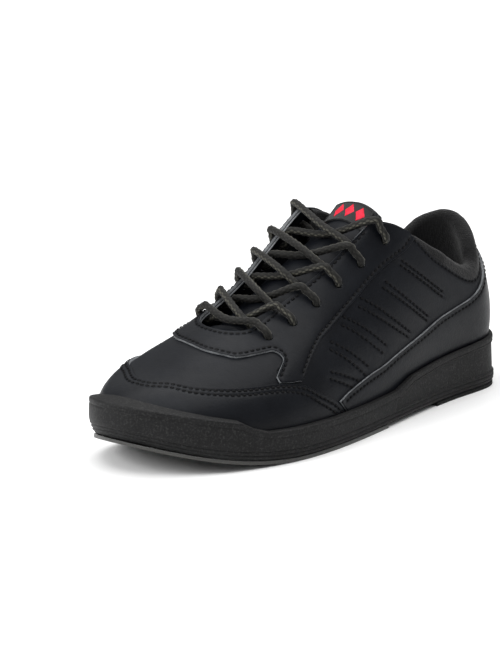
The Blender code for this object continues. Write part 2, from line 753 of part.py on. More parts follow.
def make_upper(looks, parent):
    leather, overlay_look = looks["leather"], looks["overlay"]
    gap_u = 0.010
    rear = vamp_rear()
    outline = rear[::-1] + level(5.12, STATIONS - 5.12, 0.0)[1:-1] + [(STATIONS - u, t) for u, t in rear[:-1]]
    upper_piece("vamp", outline, -LEATHER, 0.0, leather, parent)

    throat = style(THROAT)
    ridge_gap = 0.006
    behind = [(u - gap_u, min(t, 1.0 - ridge_gap)) for u, t in rear]
    throat_low = [(u, min(t, 1.0 - ridge_gap)) for u, t in throat]
    quarter = level(0.012, behind[0][0], 0.0)[:-1] + behind + throat_low[::-1]
    quarter += top_edge(3.1, 0.012) + upright(0.012, float(band_share(np.array(0.0))), 0.0)[1:-1]
    upper_piece("quarter_outer", quarter, -LEATHER, 0.0, leather, parent, eyelet_holes(False))
    mirror = [(STATIONS - u, t) for u, t in quarter]
    upper_piece("quarter_inner", mirror, -LEATHER, 0.0, leather, parent, eyelet_holes(True))

    cap = style(CAP_LINE)
    outline = cap[::-1] + level(4.25, STATIONS - 4.25, 0.0) + [(STATIONS - u, t) for u, t in cap[:-1]]
    upper_piece("toe_cap", outline, OVERLAY_LOW, OVERLAY_HIGH, overlay_look, parent)

    front = style(SADDLE_FRONT)
    back = style(SADDLE_REAR)
    above_cap = [(5.07, 0.345), (5.22, 0.375)]
    corner = [(2.78, float(band_share(np.array(2.78))) - 0.005), (3.0, 0.985)]
    half = back[::-1] + above_cap + front
    half = corner[::-1] + half
    inner = [(STATIONS - u, t) for u, t in half[:-1]][::-1]
    throat_top = [(u, min(t, 0.985)) for u, t in throat[:-1]]
    outline = half + inner + [(STATIONS - u, t) for u, t in throat_top] + [throat[-1]] + throat_top[::-1]
    holes = eyelet_holes(False) + eyelet_holes(True)
    upper_piece("saddle_eyestay", outline, OVERLAY_LOW, OVERLAY_HIGH, overlay_look, parent, holes)

    foxing = style(FOXING_OUTER + [(0.012, 0.78)])
    outline = level(0.012, 4.17, 0.0) + [(4.21, 0.03)] + foxing + upright(0.012, 0.78, 0.0)[1:-1]
    upper_piece("heel_foxing_outer", outline, OVERLAY_LOW, OVERLAY_HIGH, overlay_look, parent)
    foxing = style([(3.35, 0.0)] + FOXING_INNER + [(0.012, 0.62)])
    outline = level(0.012, 3.35, 0.0)[:-1] + foxing + upright(0.012, 0.62, 0.0)[1:-1]
    outline = [(STATIONS - u, t) for u, t in outline]
    upper_piece("heel_foxing_inner", outline, OVERLAY_LOW, OVERLAY_HIGH, overlay_look, parent)

    panel = style(COLLAR_PANEL)
    last = float(band_share(np.array(1.40))) - 0.01
    top = [(u, float(band_share(np.array(u))) - 0.01) for u in stations_between(1.40, 2.62)]
    front_edge = [(2.82, 0.84), (3.02, 0.73), (3.20, 0.675), (3.42, 0.615)]
    outline = panel + [(1.38, last)] + top[1:] + front_edge
    outline = [(STATIONS - u, t) for u, t in outline]
    upper_piece("collar_panel_inner", outline, OVERLAY_LOW, OVERLAY_HIGH, overlay_look, parent)


def make_linings(looks, parent):
    puff = [(6.2, 0.3), (6.4, 0.6), (7.0, 0.8), (8.0, 0.88)]
    puff = style(puff)
    outline = puff[::-1] + level(6.2, 9.8, 0.0) + [(STATIONS - u, t) for u, t in puff[:-1]]
    upper_piece("toe_puff", outline, STIFFENER_HIGH - TOE_PUFF, STIFFENER_HIGH, looks["board"], parent)

    crest = [(2.1, 0.30), (1.6, 0.52), (0.8, 0.60), (0.0, 0.62)]
    crest = style(crest)
    outline = level(-2.1, 2.1, 0.0) + crest + [(-u, t) for u, t in crest[-2::-1]]
    upper_piece("heel_counter", outline, STIFFENER_LOW, STIFFENER_HIGH, looks["board"], parent)

    crest = [(3.2, 0.46), (4.2, 0.44), (4.7, 0.46), (5.1, 0.50), (5.45, 0.58), (5.85, 0.78), (6.05, 1.0)]
    crest = style(crest)
    outline = crest[::-1] + upright(3.2, 0.46, 0.0)[1:-1] + level(3.2, STATIONS - 3.2, 0.0)
    outline += upright(STATIONS - 3.2, 0.0, 0.46)[1:-1] + [(STATIONS - u, t) for u, t in crest[:-1]]
    upper_piece("vamp_lining", outline, LINING_LOW - CLEARANCE, LINING_HIGH - CLEARANCE, looks["fabric"], parent)


def padding(u):
    """Thickness of the collar's foam, thin towards the eyestay."""
    return COLLAR_PADDING * (0.12 + 0.88 * smooth((3.0 - folded(u)) / 1.2))


def collar_path(u, skin, steps):
    """(share, distance) pairs from the leather's edge, over the top and down the inside."""
    length = float(rib_length(np.array(u)))
    pad = float(padding(u))
    deep = LINING_LOW - pad + skin
    tucked = smooth((float(folded(u)) - 2.3) / 0.25)
    shallow = -0.1 * MM - skin - tucked * (LEATHER + LAYER_GAP)
    radius = (shallow - deep) / 2
    crown = 1.0 - (radius + skin) / length
    path = []
    for k in range(steps + 1):
        angle = math.pi * k / steps
        path.append((crown + radius * math.sin(angle) / length, (shallow + deep) / 2 + radius * math.cos(angle)))
    inner = LINING_LOW + skin
    path.append((0.78, deep))
    path.append((0.62, deep + 0.12 * pad))
    path.append((0.50, deep + 0.55 * pad))
    path.append((0.40, inner))
    return path, inner


def place(u, path):
    path = np.array(path)
    return offset(np.full(len(path), float(u)), path[:, 0], path[:, 1])


def make_collar(knit_look, foam_look, parent):
    """Padded collar: foam, and a knitted lining that rolls over the top to the outside."""
    stations = stations_between(-COLLAR_END, COLLAR_END)
    outer, inner, foam = [], [], []
    for u in stations:
        length = float(rib_length(np.array(u)))
        face, low = collar_path(u, 0.0, 4)
        back, back_low = collar_path(u, LINING, 4)
        start = min(float(band_share(np.array(u))) + BUTT_GAP / length, face[0][0] - 0.012)
        outer.append(place(u, [(start, face[0][1])] + face + [(0.02, low)]))
        inner.append(place(u, [(start, back[0][1])] + back + [(0.02, back_low)]))
        core, _ = collar_path(u, LINING + 1.9 * LAYER_GAP, 4)
        front = -LEATHER - LAYER_GAP
        low = LINING_HIGH
        waist = min(start - 0.02, 0.86)
        shoulder = core[-2][1] * 0.5 + low * 0.5
        path = core[:-1] + [(0.445, shoulder), (0.445, low), (0.66, low), (0.70, front), (waist, front)]
        if abs(u) < FOAM_END:
            foam.append(place(u, path))
    size = len(outer[0])
    faces = []
    for i in range(len(stations) - 1):
        for k in range(size - 1):
            a = i * size + k
            faces.append((a, a + 1, a + size + 1, a + size))
    vertices, closed = thicken(np.vstack(outer), np.vstack(inner), faces)
    add_object("collar_lining", vertices, closed, knit_look, parent)
    sweep("collar_foam", foam, foam_look, parent)


# ---------------------------------------------------------------------------
# Tongue
# ---------------------------------------------------------------------------
def tongue_surface(s, v):
    """Top face of the tongue: s = 0 at its stitched end to 1 at its free end, v = -1 to 1 across."""
    rows = open_curve([
        (r[0] * SOLE_LENGTH, r[1] * BALL_WIDTH, r[2] * BALL_WIDTH, r[3] * LAST_HEIGHT, r[4] * LAST_HEIGHT)
        for r in TONGUE_LINE
    ], 6)
    at = np.asarray(s) * (len(rows) - 1)
    x, y, half, z, drop = [np.interp(at, np.arange(len(rows)), rows[:, k]) for k in range(5)]
    v = np.asarray(v)
    lean = TONGUE_LEAN * smooth(np.asarray(s) / 0.3) * (1.0 - smooth((np.asarray(s) - 0.6) / 0.3))
    return np.stack([x, y + half * v, z - drop * v ** 2 - lean * v], -1)


def tongue_normal(s, v):
    d = 0.01
    along = tongue_surface(np.clip(s + d, 0, 1), v) - tongue_surface(np.clip(s - d, 0, 1), v)
    across = tongue_surface(s, v + d) - tongue_surface(s, v - d)
    n = np.cross(across, along)
    n = n / np.linalg.norm(n, axis=-1, keepdims=True)
    return n * np.sign(n[..., 2:3])


def tongue_layer(name, s_range, half, low, high, look, parent, rows=12, columns=6):
    """Layer of the tongue between two distances from its top face."""
    s, v = np.meshgrid(np.linspace(*s_range, rows + 1), np.linspace(-half, half, columns + 1), indexing="ij")
    s, v = s.ravel(), v.ravel()
    base, out = tongue_surface(s, v), tongue_normal(s, v)
    faces = []
    for i in range(rows):
        for k in range(columns):
            a = i * (columns + 1) + k
            faces.append((a, a + 1, a + columns + 2, a + columns + 1))
    vertices, closed = thicken(base + out * high, base + out * low, faces)
    return add_object(name, vertices, closed, look, parent, parent.location)


def make_tongue(looks, parent):
    hinge = bpy.data.objects.new("tongue_hinge", None)
    bpy.context.collection.objects.link(hinge)
    hinge.parent = parent
    start = tongue_surface(np.array(0.0), np.array(0.0))
    hinge.location = Vector(start) - Vector((0.0, 0.0, LEATHER / 2))
    tongue_layer("tongue_shell", (0.0, 1.0), 1.0, -LEATHER, 0.0, looks["leather"], hinge)
    foam_high = -LEATHER - LAYER_GAP
    foam_low = foam_high - TONGUE_FOAM
    tongue_layer("tongue_foam", (0.17, 0.97), 0.93, foam_low, foam_high, looks["foam"], hinge)
    lining_high = foam_low - LAYER_GAP
    tongue_layer("tongue_lining", (0.17, 1.0), 1.0, lining_high - LINING, lining_high, looks["fabric"], hinge)
    tongue_layer("tongue_label", (0.80, 0.97), 0.74, CLEARANCE, CLEARANCE + LABEL_THICKNESS,
                 looks["label"], hinge, 4, 6)


# ---------------------------------------------------------------------------
# Lace
# ---------------------------------------------------------------------------
def eyelet(index, on_inner):
    """Centre, normal and direction to the throat of a lace hole."""
    u, t = EYELETS[index]
    if on_inner:
        u = STATIONS - u
    centre = surface(np.array(u), np.array(t))
    out = normal(np.array(u), np.array(t))
    inwards = surface(np.array(u), np.array(t + 0.02)) - surface(np.array(u), np.array(t - 0.02))
    inwards = inwards - out * (inwards @ out)
    return centre, out, inwards / np.linalg.norm(inwards)


LACE_OVER = OVERLAY_HIGH + 2 * CLEARANCE + LACE_DIAMETER / 2
LACE_UNDER = -LEATHER - 2.5 * CLEARANCE - LACE_DIAMETER / 2
INTO_LIFT = 0.45 * MM
FROM_DROP = 0.1 * MM
FLAP_MARGIN = 0.5 * MM
STRAIGHTEN = 1.2
LOWER_LIFT = 0.4 * MM
UPPER_LIFT = 6.6 * MM
BAR_LIFT = 7.0 * MM


def flap_spot(index, on_inner, other, distance):
    """(u, t) at a distance from a hole towards a hole of the other flap."""
    u, t = EYELETS[index]
    if on_inner:
        u = STATIONS - u
    h = 0.01
    base = surface(np.array(u), np.array(t))
    along = (surface(np.array(u + h), np.array(t)) - surface(np.array(u - h), np.array(t))) / (2 * h)
    up = (surface(np.array(u), np.array(t + h)) - surface(np.array(u), np.array(t - h))) / (2 * h)
    aim = eyelet(other, not on_inner)[0] - base
    aim = aim / np.linalg.norm(aim) + eyelet(index, on_inner)[2] * STRAIGHTEN
    du, dt = np.linalg.lstsq(np.stack([along, up], -1), aim, rcond=None)[0]
    size = np.linalg.norm(along * du + up * dt)
    return u + du / size * distance, min(t + dt / size * distance, 1.0)


def over_flap(index, on_inner, other, distance, height):
    """Point at a distance from a hole, and at a height over its flap."""
    u, t = flap_spot(index, on_inner, other, distance)
    return surface(np.array(u), np.array(t)) + normal(np.array(u), np.array(t)) * height


def flap_reach(index, on_inner, other):
    """Distance from a hole to just past its flap's edge."""
    edge = np.array(style(THROAT))
    reach = 8.0 * MM
    while reach < 15.0 * MM:
        u, t = flap_spot(index, on_inner, other, reach)
        if t >= np.interp(folded(np.array(u)), edge[:, 0], edge[:, 1]) or t >= 1.0:
            break
        reach += 0.5 * MM
    return reach + FLAP_MARGIN


def on_tongue(x, y, height):
    """Point over the tongue at a plan position."""
    s = np.linspace(0.0, 1.0, 400)
    middle = tongue_surface(s, np.zeros(400))
    at = float(np.interp(-x, -middle[:, 0], s))
    half = float(tongue_surface(np.array(at), np.array(1.0))[1] - tongue_surface(np.array(at), np.array(0.0))[1])
    across = (y - float(tongue_surface(np.array(at), np.array(0.0))[1])) / half
    return tongue_surface(np.array(at), np.array(across)) + tongue_normal(np.array(at), np.array(across)) * height


def into_eyelet(index, on_inner, other):
    """Route from the throat, over the flap and down through a hole."""
    c, n, _ = eyelet(index, on_inner)
    steps = [(8.0, LACE_OVER + INTO_LIFT), (3.4, LACE_OVER), (1.0, LACE_OVER - 0.9 * MM)]
    return [over_flap(index, on_inner, other, d * MM, h) for d, h in steps] + [c + n * (LACE_OVER - 2.9 * MM)]


def from_eyelet(index, on_inner, other):
    """Route from a hole, back under the flap into the throat."""
    c, n, _ = eyelet(index, on_inner)
    steps = [(1.0, LACE_UNDER + 0.9 * MM), (3.4, LACE_UNDER - FROM_DROP), (8.5, LACE_UNDER - FROM_DROP)]
    return [c + n * (LACE_UNDER + 2.9 * MM)] + [over_flap(index, on_inner, other, d * MM, h) for d, h in steps]


def crossing(index, from_inner):
    """Middle of a strand that goes over the tongue from one hole to the next pair's opposite one."""
    reach = flap_reach(index, from_inner, index + 1)
    start = over_flap(index, from_inner, index + 1, reach, LACE_UNDER - FROM_DROP)
    reach = flap_reach(index + 1, not from_inner, index)
    end = over_flap(index + 1, not from_inner, index, reach, LACE_OVER + INTO_LIFT)
    share, lift = (0.47, LOWER_LIFT) if from_inner else (0.40, UPPER_LIFT)
    x, y, _ = start + (end - start) * share
    return [start, on_tongue(x, y, LACE_DIAMETER / 2 + lift), end]


def lace_route(on_inner):
    """One half of the lace, from the middle of the lowest bar up to its last hole."""
    a, b = (over_flap(0, side, 0, flap_reach(0, side, 0), LACE_OVER + INTO_LIFT) for side in (False, True))
    middle = (a + b) / 2
    route = [on_tongue(middle[0], middle[1], LACE_DIAMETER / 2 + BAR_LIFT)]
    route.append(b if on_inner else a)
    here = on_inner
    for index in range(len(EYELETS)):
        route += into_eyelet(index, here, max(index - 1, 0))
        if index == len(EYELETS) - 1:
            route += [np.array(p) * MM for p in (LACE_TUCK_INNER if here else LACE_TUCK_OUTER)]
            break
        route += from_eyelet(index, here, index + 1)
        route += crossing(index, here)
        here = not here
    return route


def make_cord(name, route, diameter, look, parent, resolution=2):
    line = bpy.data.curves.new(name, "CURVE")
    line.dimensions = "3D"
    line.bevel_depth = diameter / 2
    line.bevel_resolution = resolution
    line.use_fill_caps = True
    spline = line.splines.new("POLY")
    spline.points.add(len(route) - 1)
    for point, place_at in zip(spline.points, route):
        point.co = (*place_at, 1.0)
    made = bpy.data.objects.new(name, line)
    bpy.context.collection.objects.link(made)
    made.parent = parent
    made.data.materials.append(look)
    return made


def make_lace(lace_look, aglet_look, parent):
    first, second = lace_route(True), lace_route(False)
    make_cord("lace", np.array(first[::-1] + second[1:]), LACE_DIAMETER, lace_look, parent)
    for side, end, tip in (("outer", LACE_END_OUTER, AGLET_OUTER), ("inner", LACE_END_INNER, AGLET_INNER)):
        make_cord("lace_end_" + side, np.array(end) * MM, LACE_DIAMETER, lace_look, parent)
        make_cord("aglet_" + side, np.array(tip) * MM, AGLET_DIAMETER, aglet_look, parent)


def build():
    clear_scene()
    frame = frame_empty()
    looks = {
        "leather": material("leather", (0.020, 0.023, 0.027), 0.42),
        "overlay": material("overlay_leather", (0.022, 0.025, 0.029), 0.40),
        "rubber": material("rubber", (0.035, 0.035, 0.037), 0.75),
        "slide": material("slide_microfibre", (0.55, 0.55, 0.53), 0.9),
        "tread": material("tread_rubber", (0.02, 0.02, 0.02), 0.7),
        "foam": material("foam", (0.25, 0.25, 0.26), 0.95),
        "steel": material("shank_steel", (0.55, 0.55, 0.56), 0.35, 1.0),
        "board": material("fibre_board", (0.45, 0.38, 0.29), 0.85),
        "sock": material("sock_fabric", (0.05, 0.05, 0.055), 0.95),
        "fabric": material("lining_fabric", (0.035, 0.035, 0.038), 0.95),
        "knit": material("collar_knit", (0.025, 0.025, 0.027), 0.95),
        "label": material("label_weave", (0.03, 0.03, 0.033), 0.8),
        "lace": material("lace_braid", (0.03, 0.03, 0.028), 0.7),
        "aglet": material("aglet_plastic", (0.6, 0.6, 0.58), 0.2),
    }
    make_cupsole(looks["rubber"], frame)
    make_treads(looks["slide"], looks["tread"], frame)
    make_filler(looks["foam"], looks["steel"], frame)
    make_insole(looks["board"], looks["sock"], frame)
    make_upper(looks, frame)
    make_linings(looks, frame)
    make_collar(looks["knit"], looks["foam"], frame)
    make_tongue(looks, frame)
    make_lace(looks["lace"], looks["aglet"], frame)


build()
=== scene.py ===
"""Bowling shoe, as it looks: smooth leather with cut edges and stitching, a moulded cup sole, a knitted
collar, a padded tongue and a braided lace, built round the fixed frame of its solids.

Everything is drawn in the last frame (heel at x = 0, toe at +x, outer side at +y, ground at z = 0) and
shifted to the row frame. Sizes are in metres.
"""

import math

import bpy
import numpy as np
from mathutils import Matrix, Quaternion, Vector
from mathutils.geometry import delaunay_2d_cdt


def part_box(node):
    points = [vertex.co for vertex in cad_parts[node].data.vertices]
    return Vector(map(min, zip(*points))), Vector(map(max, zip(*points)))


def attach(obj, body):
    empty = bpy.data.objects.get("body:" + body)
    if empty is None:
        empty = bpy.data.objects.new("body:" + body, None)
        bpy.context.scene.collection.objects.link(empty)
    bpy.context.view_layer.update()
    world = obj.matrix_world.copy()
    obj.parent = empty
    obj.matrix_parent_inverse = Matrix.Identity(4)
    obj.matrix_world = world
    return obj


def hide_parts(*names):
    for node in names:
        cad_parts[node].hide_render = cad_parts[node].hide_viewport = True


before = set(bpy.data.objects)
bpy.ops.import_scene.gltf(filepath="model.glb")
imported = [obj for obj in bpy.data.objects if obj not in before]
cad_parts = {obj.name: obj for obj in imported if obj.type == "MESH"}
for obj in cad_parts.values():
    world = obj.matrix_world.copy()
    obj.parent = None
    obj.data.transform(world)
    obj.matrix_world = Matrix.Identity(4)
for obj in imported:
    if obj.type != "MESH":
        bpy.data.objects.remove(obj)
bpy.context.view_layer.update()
MM = 0.001

# ---------------------------------------------------------------------------
# Sizes, read from the frame where it states them
# ---------------------------------------------------------------------------
SOLE_LOW, SOLE_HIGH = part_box("cupsole")
SOLE_LENGTH = SOLE_HIGH.x - SOLE_LOW.x
BALL_WIDTH = 107.0 * MM
LAST_HEIGHT = 118.0 * MM
TOE_SPRING = 19.0 * MM
HEEL_BED = 20.0 * MM
BALL_BED = 11.5 * MM
UPPER_INSET = 7.5 * MM
TREAD_THICKNESS = 2.0 * MM
HEEL_TREAD_LENGTH = 74.0 * MM
FOREPART_START = 128.0 * MM
BOARD_THICKNESS = 2.0 * MM
SOCK_THICKNESS = 4.2 * MM
SOCK_SIDE_GAP = 1.0 * MM
LEATHER = 1.3 * MM
STIFFENER = 1.2 * MM
LINING = 0.8 * MM
COLLAR_PADDING = 5.2 * MM
COLLAR_BAND = 8.5 * MM
TONGUE_FOAM = 3.6 * MM
LACE_DIAMETER = 4.2 * MM
EYELET_RADIUS = 2.6 * MM
AGLET_DIAMETER = 3.8 * MM
LAYER_GAP = 0.5 * MM
BUTT_GAP = 0.4 * MM
FACET_STEP = 1.6 * MM
CLEARANCE = 0.3 * MM

# Stations run from the back of the heel (0) along one side to the toe tip (8).
# Edge of the sole: share of the length, then shares of the ball width outwards and inwards.
SOLE_EDGE = [
    (0.000, 0.000, 0.000),
    (0.047, 0.285, -0.271),
    (0.167, 0.336, -0.346),
    (0.333, 0.395, -0.315),
    (0.500, 0.475, -0.350),
    (0.673, 0.510, -0.450),
    (0.820, 0.420, -0.492),
    (0.933, 0.245, -0.415),
    (1.000, -0.093, -0.093),
]
# Top line and instep ridge: share of the length, centre and half width as shares of the ball width,
# height as a share of the last height, and how much the inner side stands above that height.
TOP_LINE = [
    (0.033, -0.010, 0.000, 0.855, 0.000),
    (0.072, -0.010, 0.220, 0.773, 0.038),
    (0.150, -0.010, 0.305, 0.708, 0.028),
    (0.347, -0.030, 0.275, 0.967, 0.003),
    (0.500, -0.080, 0.110, 0.855, 0.000),
    (0.667, -0.130, 0.000, 0.610, 0.000),
    (0.773, -0.130, 0.000, 0.510, 0.000),
    (0.833, -0.115, 0.000, 0.450, 0.000),
    (0.853, -0.110, 0.000, 0.430, 0.000),
]
# Handles of the ribs, in millimetres: outwards and up from the bottom, outwards and up from the top.
RIBS_OUTER = [
    (8, 24, 5, -26),
    (7, 24, 6, -26),
    (7, 22, 5, -22),
    (9, 32, 10, -28),
    (5, 36, 22, -6),
    (4, 33, 38, 0),
    (4, 24, 34, 0),
    (4, 20, 24, 0),
    (4, 18, 20, 0),
]
RIBS_INNER = [
    (8, 24, 5, -26),
    (7, 24, 6, -26),
    (7, 22, 5, -22),
    (9, 34, 12, -26),
    (5, 40, 22, -4),
    (4, 42, 26, 0),
    (4, 36, 26, 0),
    (4, 26, 22, 0),
    (4, 18, 20, 0),
]
STATIONS = 16
RIDGE_START = 5.0

# Top of the sole's wall: share of the length, height in millimetres.
WALL_TOP = [
    (0.00, 31.5), (0.07, 30.6), (0.24, 27.5), (0.33, 24.7), (0.385, 19.2), (0.48, 18.3),
    (0.60, 18.3), (0.72, 19.0), (0.77, 19.9), (0.80, 22.9), (0.83, 28.0), (0.883, 31.8),
    (0.937, 36.0), (0.98, 39.4), (1.00, 41.0),
]

# Style lines on the upper: (station, share of the rib from the bottom to the top).
CAP_LINE = [
    (4.25, 0.02), (4.41, 0.11), (4.71, 0.21), (4.95, 0.30), (5.30, 0.38), (5.96, 0.46),
    (6.55, 0.56), (7.08, 0.70), (8.00, 0.77),
]
SADDLE_FRONT = [
    (5.22, 0.42), (5.11, 0.46), (5.01, 0.50), (5.05, 0.57), (5.20, 0.61), (5.51, 0.67),
    (5.64, 0.73), (5.86, 0.86), (5.97, 1.00),
]
SADDLE_REAR = [
    (4.92, 0.32), (4.70, 0.40), (4.46, 0.46), (4.23, 0.49), (3.67, 0.59), (2.99, 0.79), (2.74, 0.94),
]
THROAT = [
    (3.20, 1.00), (3.50, 0.90), (3.89, 0.81), (4.30, 0.765), (4.63, 0.76), (4.92, 0.765),
    (5.13, 0.80), (5.30, 0.90), (5.36, 1.00),
]
FOXING_OUTER = [
    (4.38, 0.12), (4.18, 0.15), (3.82, 0.18), (3.40, 0.21), (2.81, 0.31), (2.37, 0.47),
    (2.02, 0.61), (1.69, 0.71), (1.34, 0.76), (0.70, 0.78),
]
FOXING_INNER = [(3.10, 0.12), (2.55, 0.28), (2.05, 0.44), (1.55, 0.58), (1.25, 0.62), (0.70, 0.62)]
COLLAR_PANEL = [(2.95, 0.60), (2.45, 0.585), (1.95, 0.63), (1.62, 0.72), (1.42, 0.84)]
COLLAR_END = 3.08
EYELETS = [(4.99, 0.662), (4.655, 0.630), (4.304, 0.635), (3.963, 0.670), (3.563, 0.735), (3.132, 0.870)]

# Tongue: share of the length, centre and half width as shares of the ball width, height and edge
# drop as shares of the last height.
TONGUE_LINE = [
    (0.748, -0.085, 0.180, 0.495, 0.030),
    (0.667, -0.070, 0.225, 0.530, 0.064),
    (0.583, -0.055, 0.240, 0.640, 0.100),
    (0.500, -0.045, 0.240, 0.762, 0.112),
    (0.417, -0.035, 0.215, 0.872, 0.105),
    (0.360, -0.025, 0.195, 0.962, 0.080),
    (0.325, -0.025, 0.170, 1.030, 0.055),
]
# The lace below its last holes, as held by the flaps, then its free ends, which hang inside the
# shoe: points in mm from the heel.
LACE_TUCK_OUTER = [(110.2, 26.6, 103.9), (109.7, 24.6, 103.0), (108.8, 23.2, 101.4), (107.2, 22.5, 99.0)]
LACE_TUCK_INNER = [(110.9, -34.0, 105.0), (110.5, -31.6, 104.2), (109.7, -29.7, 102.3), (108.0, -28.7, 99.6)]
LACE_END_OUTER = [
    (107.0, 22.4, 98.7), (104.5, 22.3, 94.8), (101.9, 22.5, 91.4), (99.0, 22.8, 87.4), (96.7, 23.0, 83.4),
    (94.9, 23.0, 79.4), (93.5, 22.9, 75.4), (92.4, 22.7, 71.4), (91.6, 22.4, 67.4), (91.2, 22.2, 63.5),
]
LACE_END_INNER = [
    (107.8, -28.6, 99.3), (105.5, -28.2, 95.9), (102.9, -28.0, 92.5), (100.0, -28.1, 88.5),
    (97.7, -28.1, 84.5), (95.9, -28.0, 80.5), (94.5, -27.8, 76.5), (93.4, -27.5, 72.5),
    (92.6, -27.1, 68.5), (92.2, -26.7, 64.5),
]
AGLET_OUTER = [(91.1, 22.1, 63.1), (90.8, 21.6, 53.0), (90.6, 21.0, 43.0)]
AGLET_INNER = [(92.1, -26.5, 64.1), (91.8, -25.2, 54.0), (91.6, -23.9, 44.0)]
# The laced stretch of the tongue leans down towards the outer side, as the instep does.
TONGUE_LEAN = 0.6 * MM


# ---------------------------------------------------------------------------
# Curves and the surface of the upper
# ---------------------------------------------------------------------------
def closed_spline(values):
    """Smooth closed curve through one value per station, as a function of the station number."""
    values = np.asarray(values, float)
    count = len(values)
    matrix = np.zeros((count, count))
    for i in range(count):
        matrix[i, i] = 4.0
        matrix[i, (i + 1) % count] += 1.0
        matrix[i, (i - 1) % count] += 1.0
    control = np.linalg.solve(matrix, 6.0 * values)

    def at(u):
        u = np.asarray(u, float) % count
        i = np.floor(u).astype(int)
        w = u - i
        return (
            (1 - w) ** 3 * control[(i - 1) % count]
            + (3 * w ** 3 - 6 * w ** 2 + 4) * control[i % count]
            + (-3 * w ** 3 + 3 * w ** 2 + 3 * w + 1) * control[(i + 1) % count]
            + w ** 3 * control[(i + 2) % count]
        ) / 6.0

    return at


def open_curve(points, per_span=4):
    """Points along a smooth curve through the given ones."""
    points = np.asarray(points, float)
    padded = np.vstack([2 * points[0] - points[1], points, 2 * points[-1] - points[-2]])
    result = []
    for i in range(len(points) - 1):
        p0, p1, p2, p3 = padded[i:i + 4]
        for w in np.arange(per_span) / per_span:
            result.append(
                0.5 * (2 * p1 + (p2 - p0) * w + (2 * p0 - 5 * p1 + 4 * p2 - p3) * w ** 2
                       + (3 * p1 - p0 - 3 * p2 + p3) * w ** 3)
            )
    result.append(points[-1])
    return np.array(result)


def style(points):
    """Style line of the upper, with points at even steps along it."""
    dense = open_curve(points, 12)
    x, y = chart(dense[:, 0], dense[:, 1])
    walked = np.concatenate([[0.0], np.cumsum(np.hypot(np.diff(x), np.diff(y)))])
    count = max(2, int(math.ceil(walked[-1] / FACET_STEP)))
    steps = np.linspace(0.0, walked[-1], count + 1)
    u, t = (np.interp(steps, walked, dense[:, k]).tolist() for k in (0, 1))
    return list(zip(u, t))


def both_sides(outer, inner):
    """Closed spline with station values for the outer side and back along the inner side."""
    return closed_spline(list(outer) + list(inner)[7:0:-1])


def column(table, k, unit):
    return [row[k] * unit for row in table]


def mirrored(table, k, unit):
    return both_sides(column(table, k, unit), column(table, k, unit))


def signed(table, k, unit):
    """Positive on the outer side and negative on the inner side."""
    return both_sides(column(table, k, unit), column(table, k, -unit))


edge_x = mirrored(SOLE_EDGE, 0, SOLE_LENGTH)
edge_y = both_sides(column(SOLE_EDGE, 1, BALL_WIDTH), column(SOLE_EDGE, 2, BALL_WIDTH))
top_x = mirrored(TOP_LINE, 0, SOLE_LENGTH)
top_centre = mirrored(TOP_LINE, 1, BALL_WIDTH)
top_half = signed(TOP_LINE, 2, BALL_WIDTH)
top_height = mirrored(TOP_LINE, 3, LAST_HEIGHT)
top_tilt = signed(TOP_LINE, 4, LAST_HEIGHT)
handle_a_out, handle_a_up, handle_b_out, handle_b_up = [
    both_sides(column(RIBS_OUTER, k, MM), column(RIBS_INNER, k, MM)) for k in range(4)
]


def smooth(x):
    x = np.clip(x, 0.0, 1.0)
    return x * x * (3.0 - 2.0 * x)


def folded(u):
    """Station counted from the heel on either side, 0 to 8."""
    u = np.asarray(u, float) % STATIONS
    return np.where(u > 8.0, STATIONS - u, u)


def spring(x):
    """Lift of the sole towards the toe."""
    start = 0.683 * SOLE_LENGTH
    return TOE_SPRING * np.clip((x - start) / (SOLE_LENGTH - start), 0, None) ** 2


def bed_height(x):
    """Height of the bottom of the upper above the ground."""
    return BALL_BED + (HEEL_BED - BALL_BED) * smooth(1.0 - (x / SOLE_LENGTH - 0.15) / 0.42) + spring(x)


def wall_height(x):
    """Height of the top of the sole's wall."""
    shares = [w[0] for w in WALL_TOP]
    heights = [w[1] * MM for w in WALL_TOP]
    return np.interp(np.asarray(x) / SOLE_LENGTH, shares, heights)


def outward(u):
    """Unit normal of the sole's edge, in plan."""
    d = 0.001
    tx = edge_x(u + d) - edge_x(u - d)
    ty = edge_y(u + d) - edge_y(u - d)
    size = np.hypot(tx, ty)
    return -ty / size, tx / size


def inset_edge(u, inset):
    """Sole edge moved inwards, in plan."""
    nx, ny = outward(u)
    return edge_x(u) - nx * inset, edge_y(u) - ny * inset


def top_point(u):
    s = folded(u)
    fade = smooth(RIDGE_START - s)
    y = top_centre(u) + top_half(u) * fade
    z = top_height(u) - top_tilt(u) * fade
    return np.stack([top_x(u), y, z], -1)


def ridge_slope(u):
    s = np.clip(folded(u), 4.0, 7.7)
    d = 0.05
    return (top_height(s + d) - top_height(s - d)) / (top_x(s + d) - top_x(s - d))


def surface(u, t):
    """Point of the lasted upper: t = 0 at the bottom, 1 at the top line or ridge."""
    u, t = np.broadcast_arrays(np.asarray(u, float), np.asarray(t, float))
    nx, ny = outward(u)
    px, py = inset_edge(u, UPPER_INSET)
    p = np.stack([px, py, bed_height(px)], -1)
    n = np.stack([nx, ny, np.zeros_like(nx)], -1)
    up = np.array([0.0, 0.0, 1.0])
    a = p + n * handle_a_out(u)[..., None] + up * handle_a_up(u)[..., None]
    q = top_point(u)
    b_out = handle_b_out(u)
    b_up = handle_b_up(u) + smooth(folded(u) - 3.0) * nx * b_out * ridge_slope(u)
    b = q + n * b_out[..., None] + up * b_up[..., None]
    t = t[..., None]
    return (1 - t) ** 3 * p + 3 * t * (1 - t) ** 2 * a + 3 * t ** 2 * (1 - t) * b + t ** 3 * q


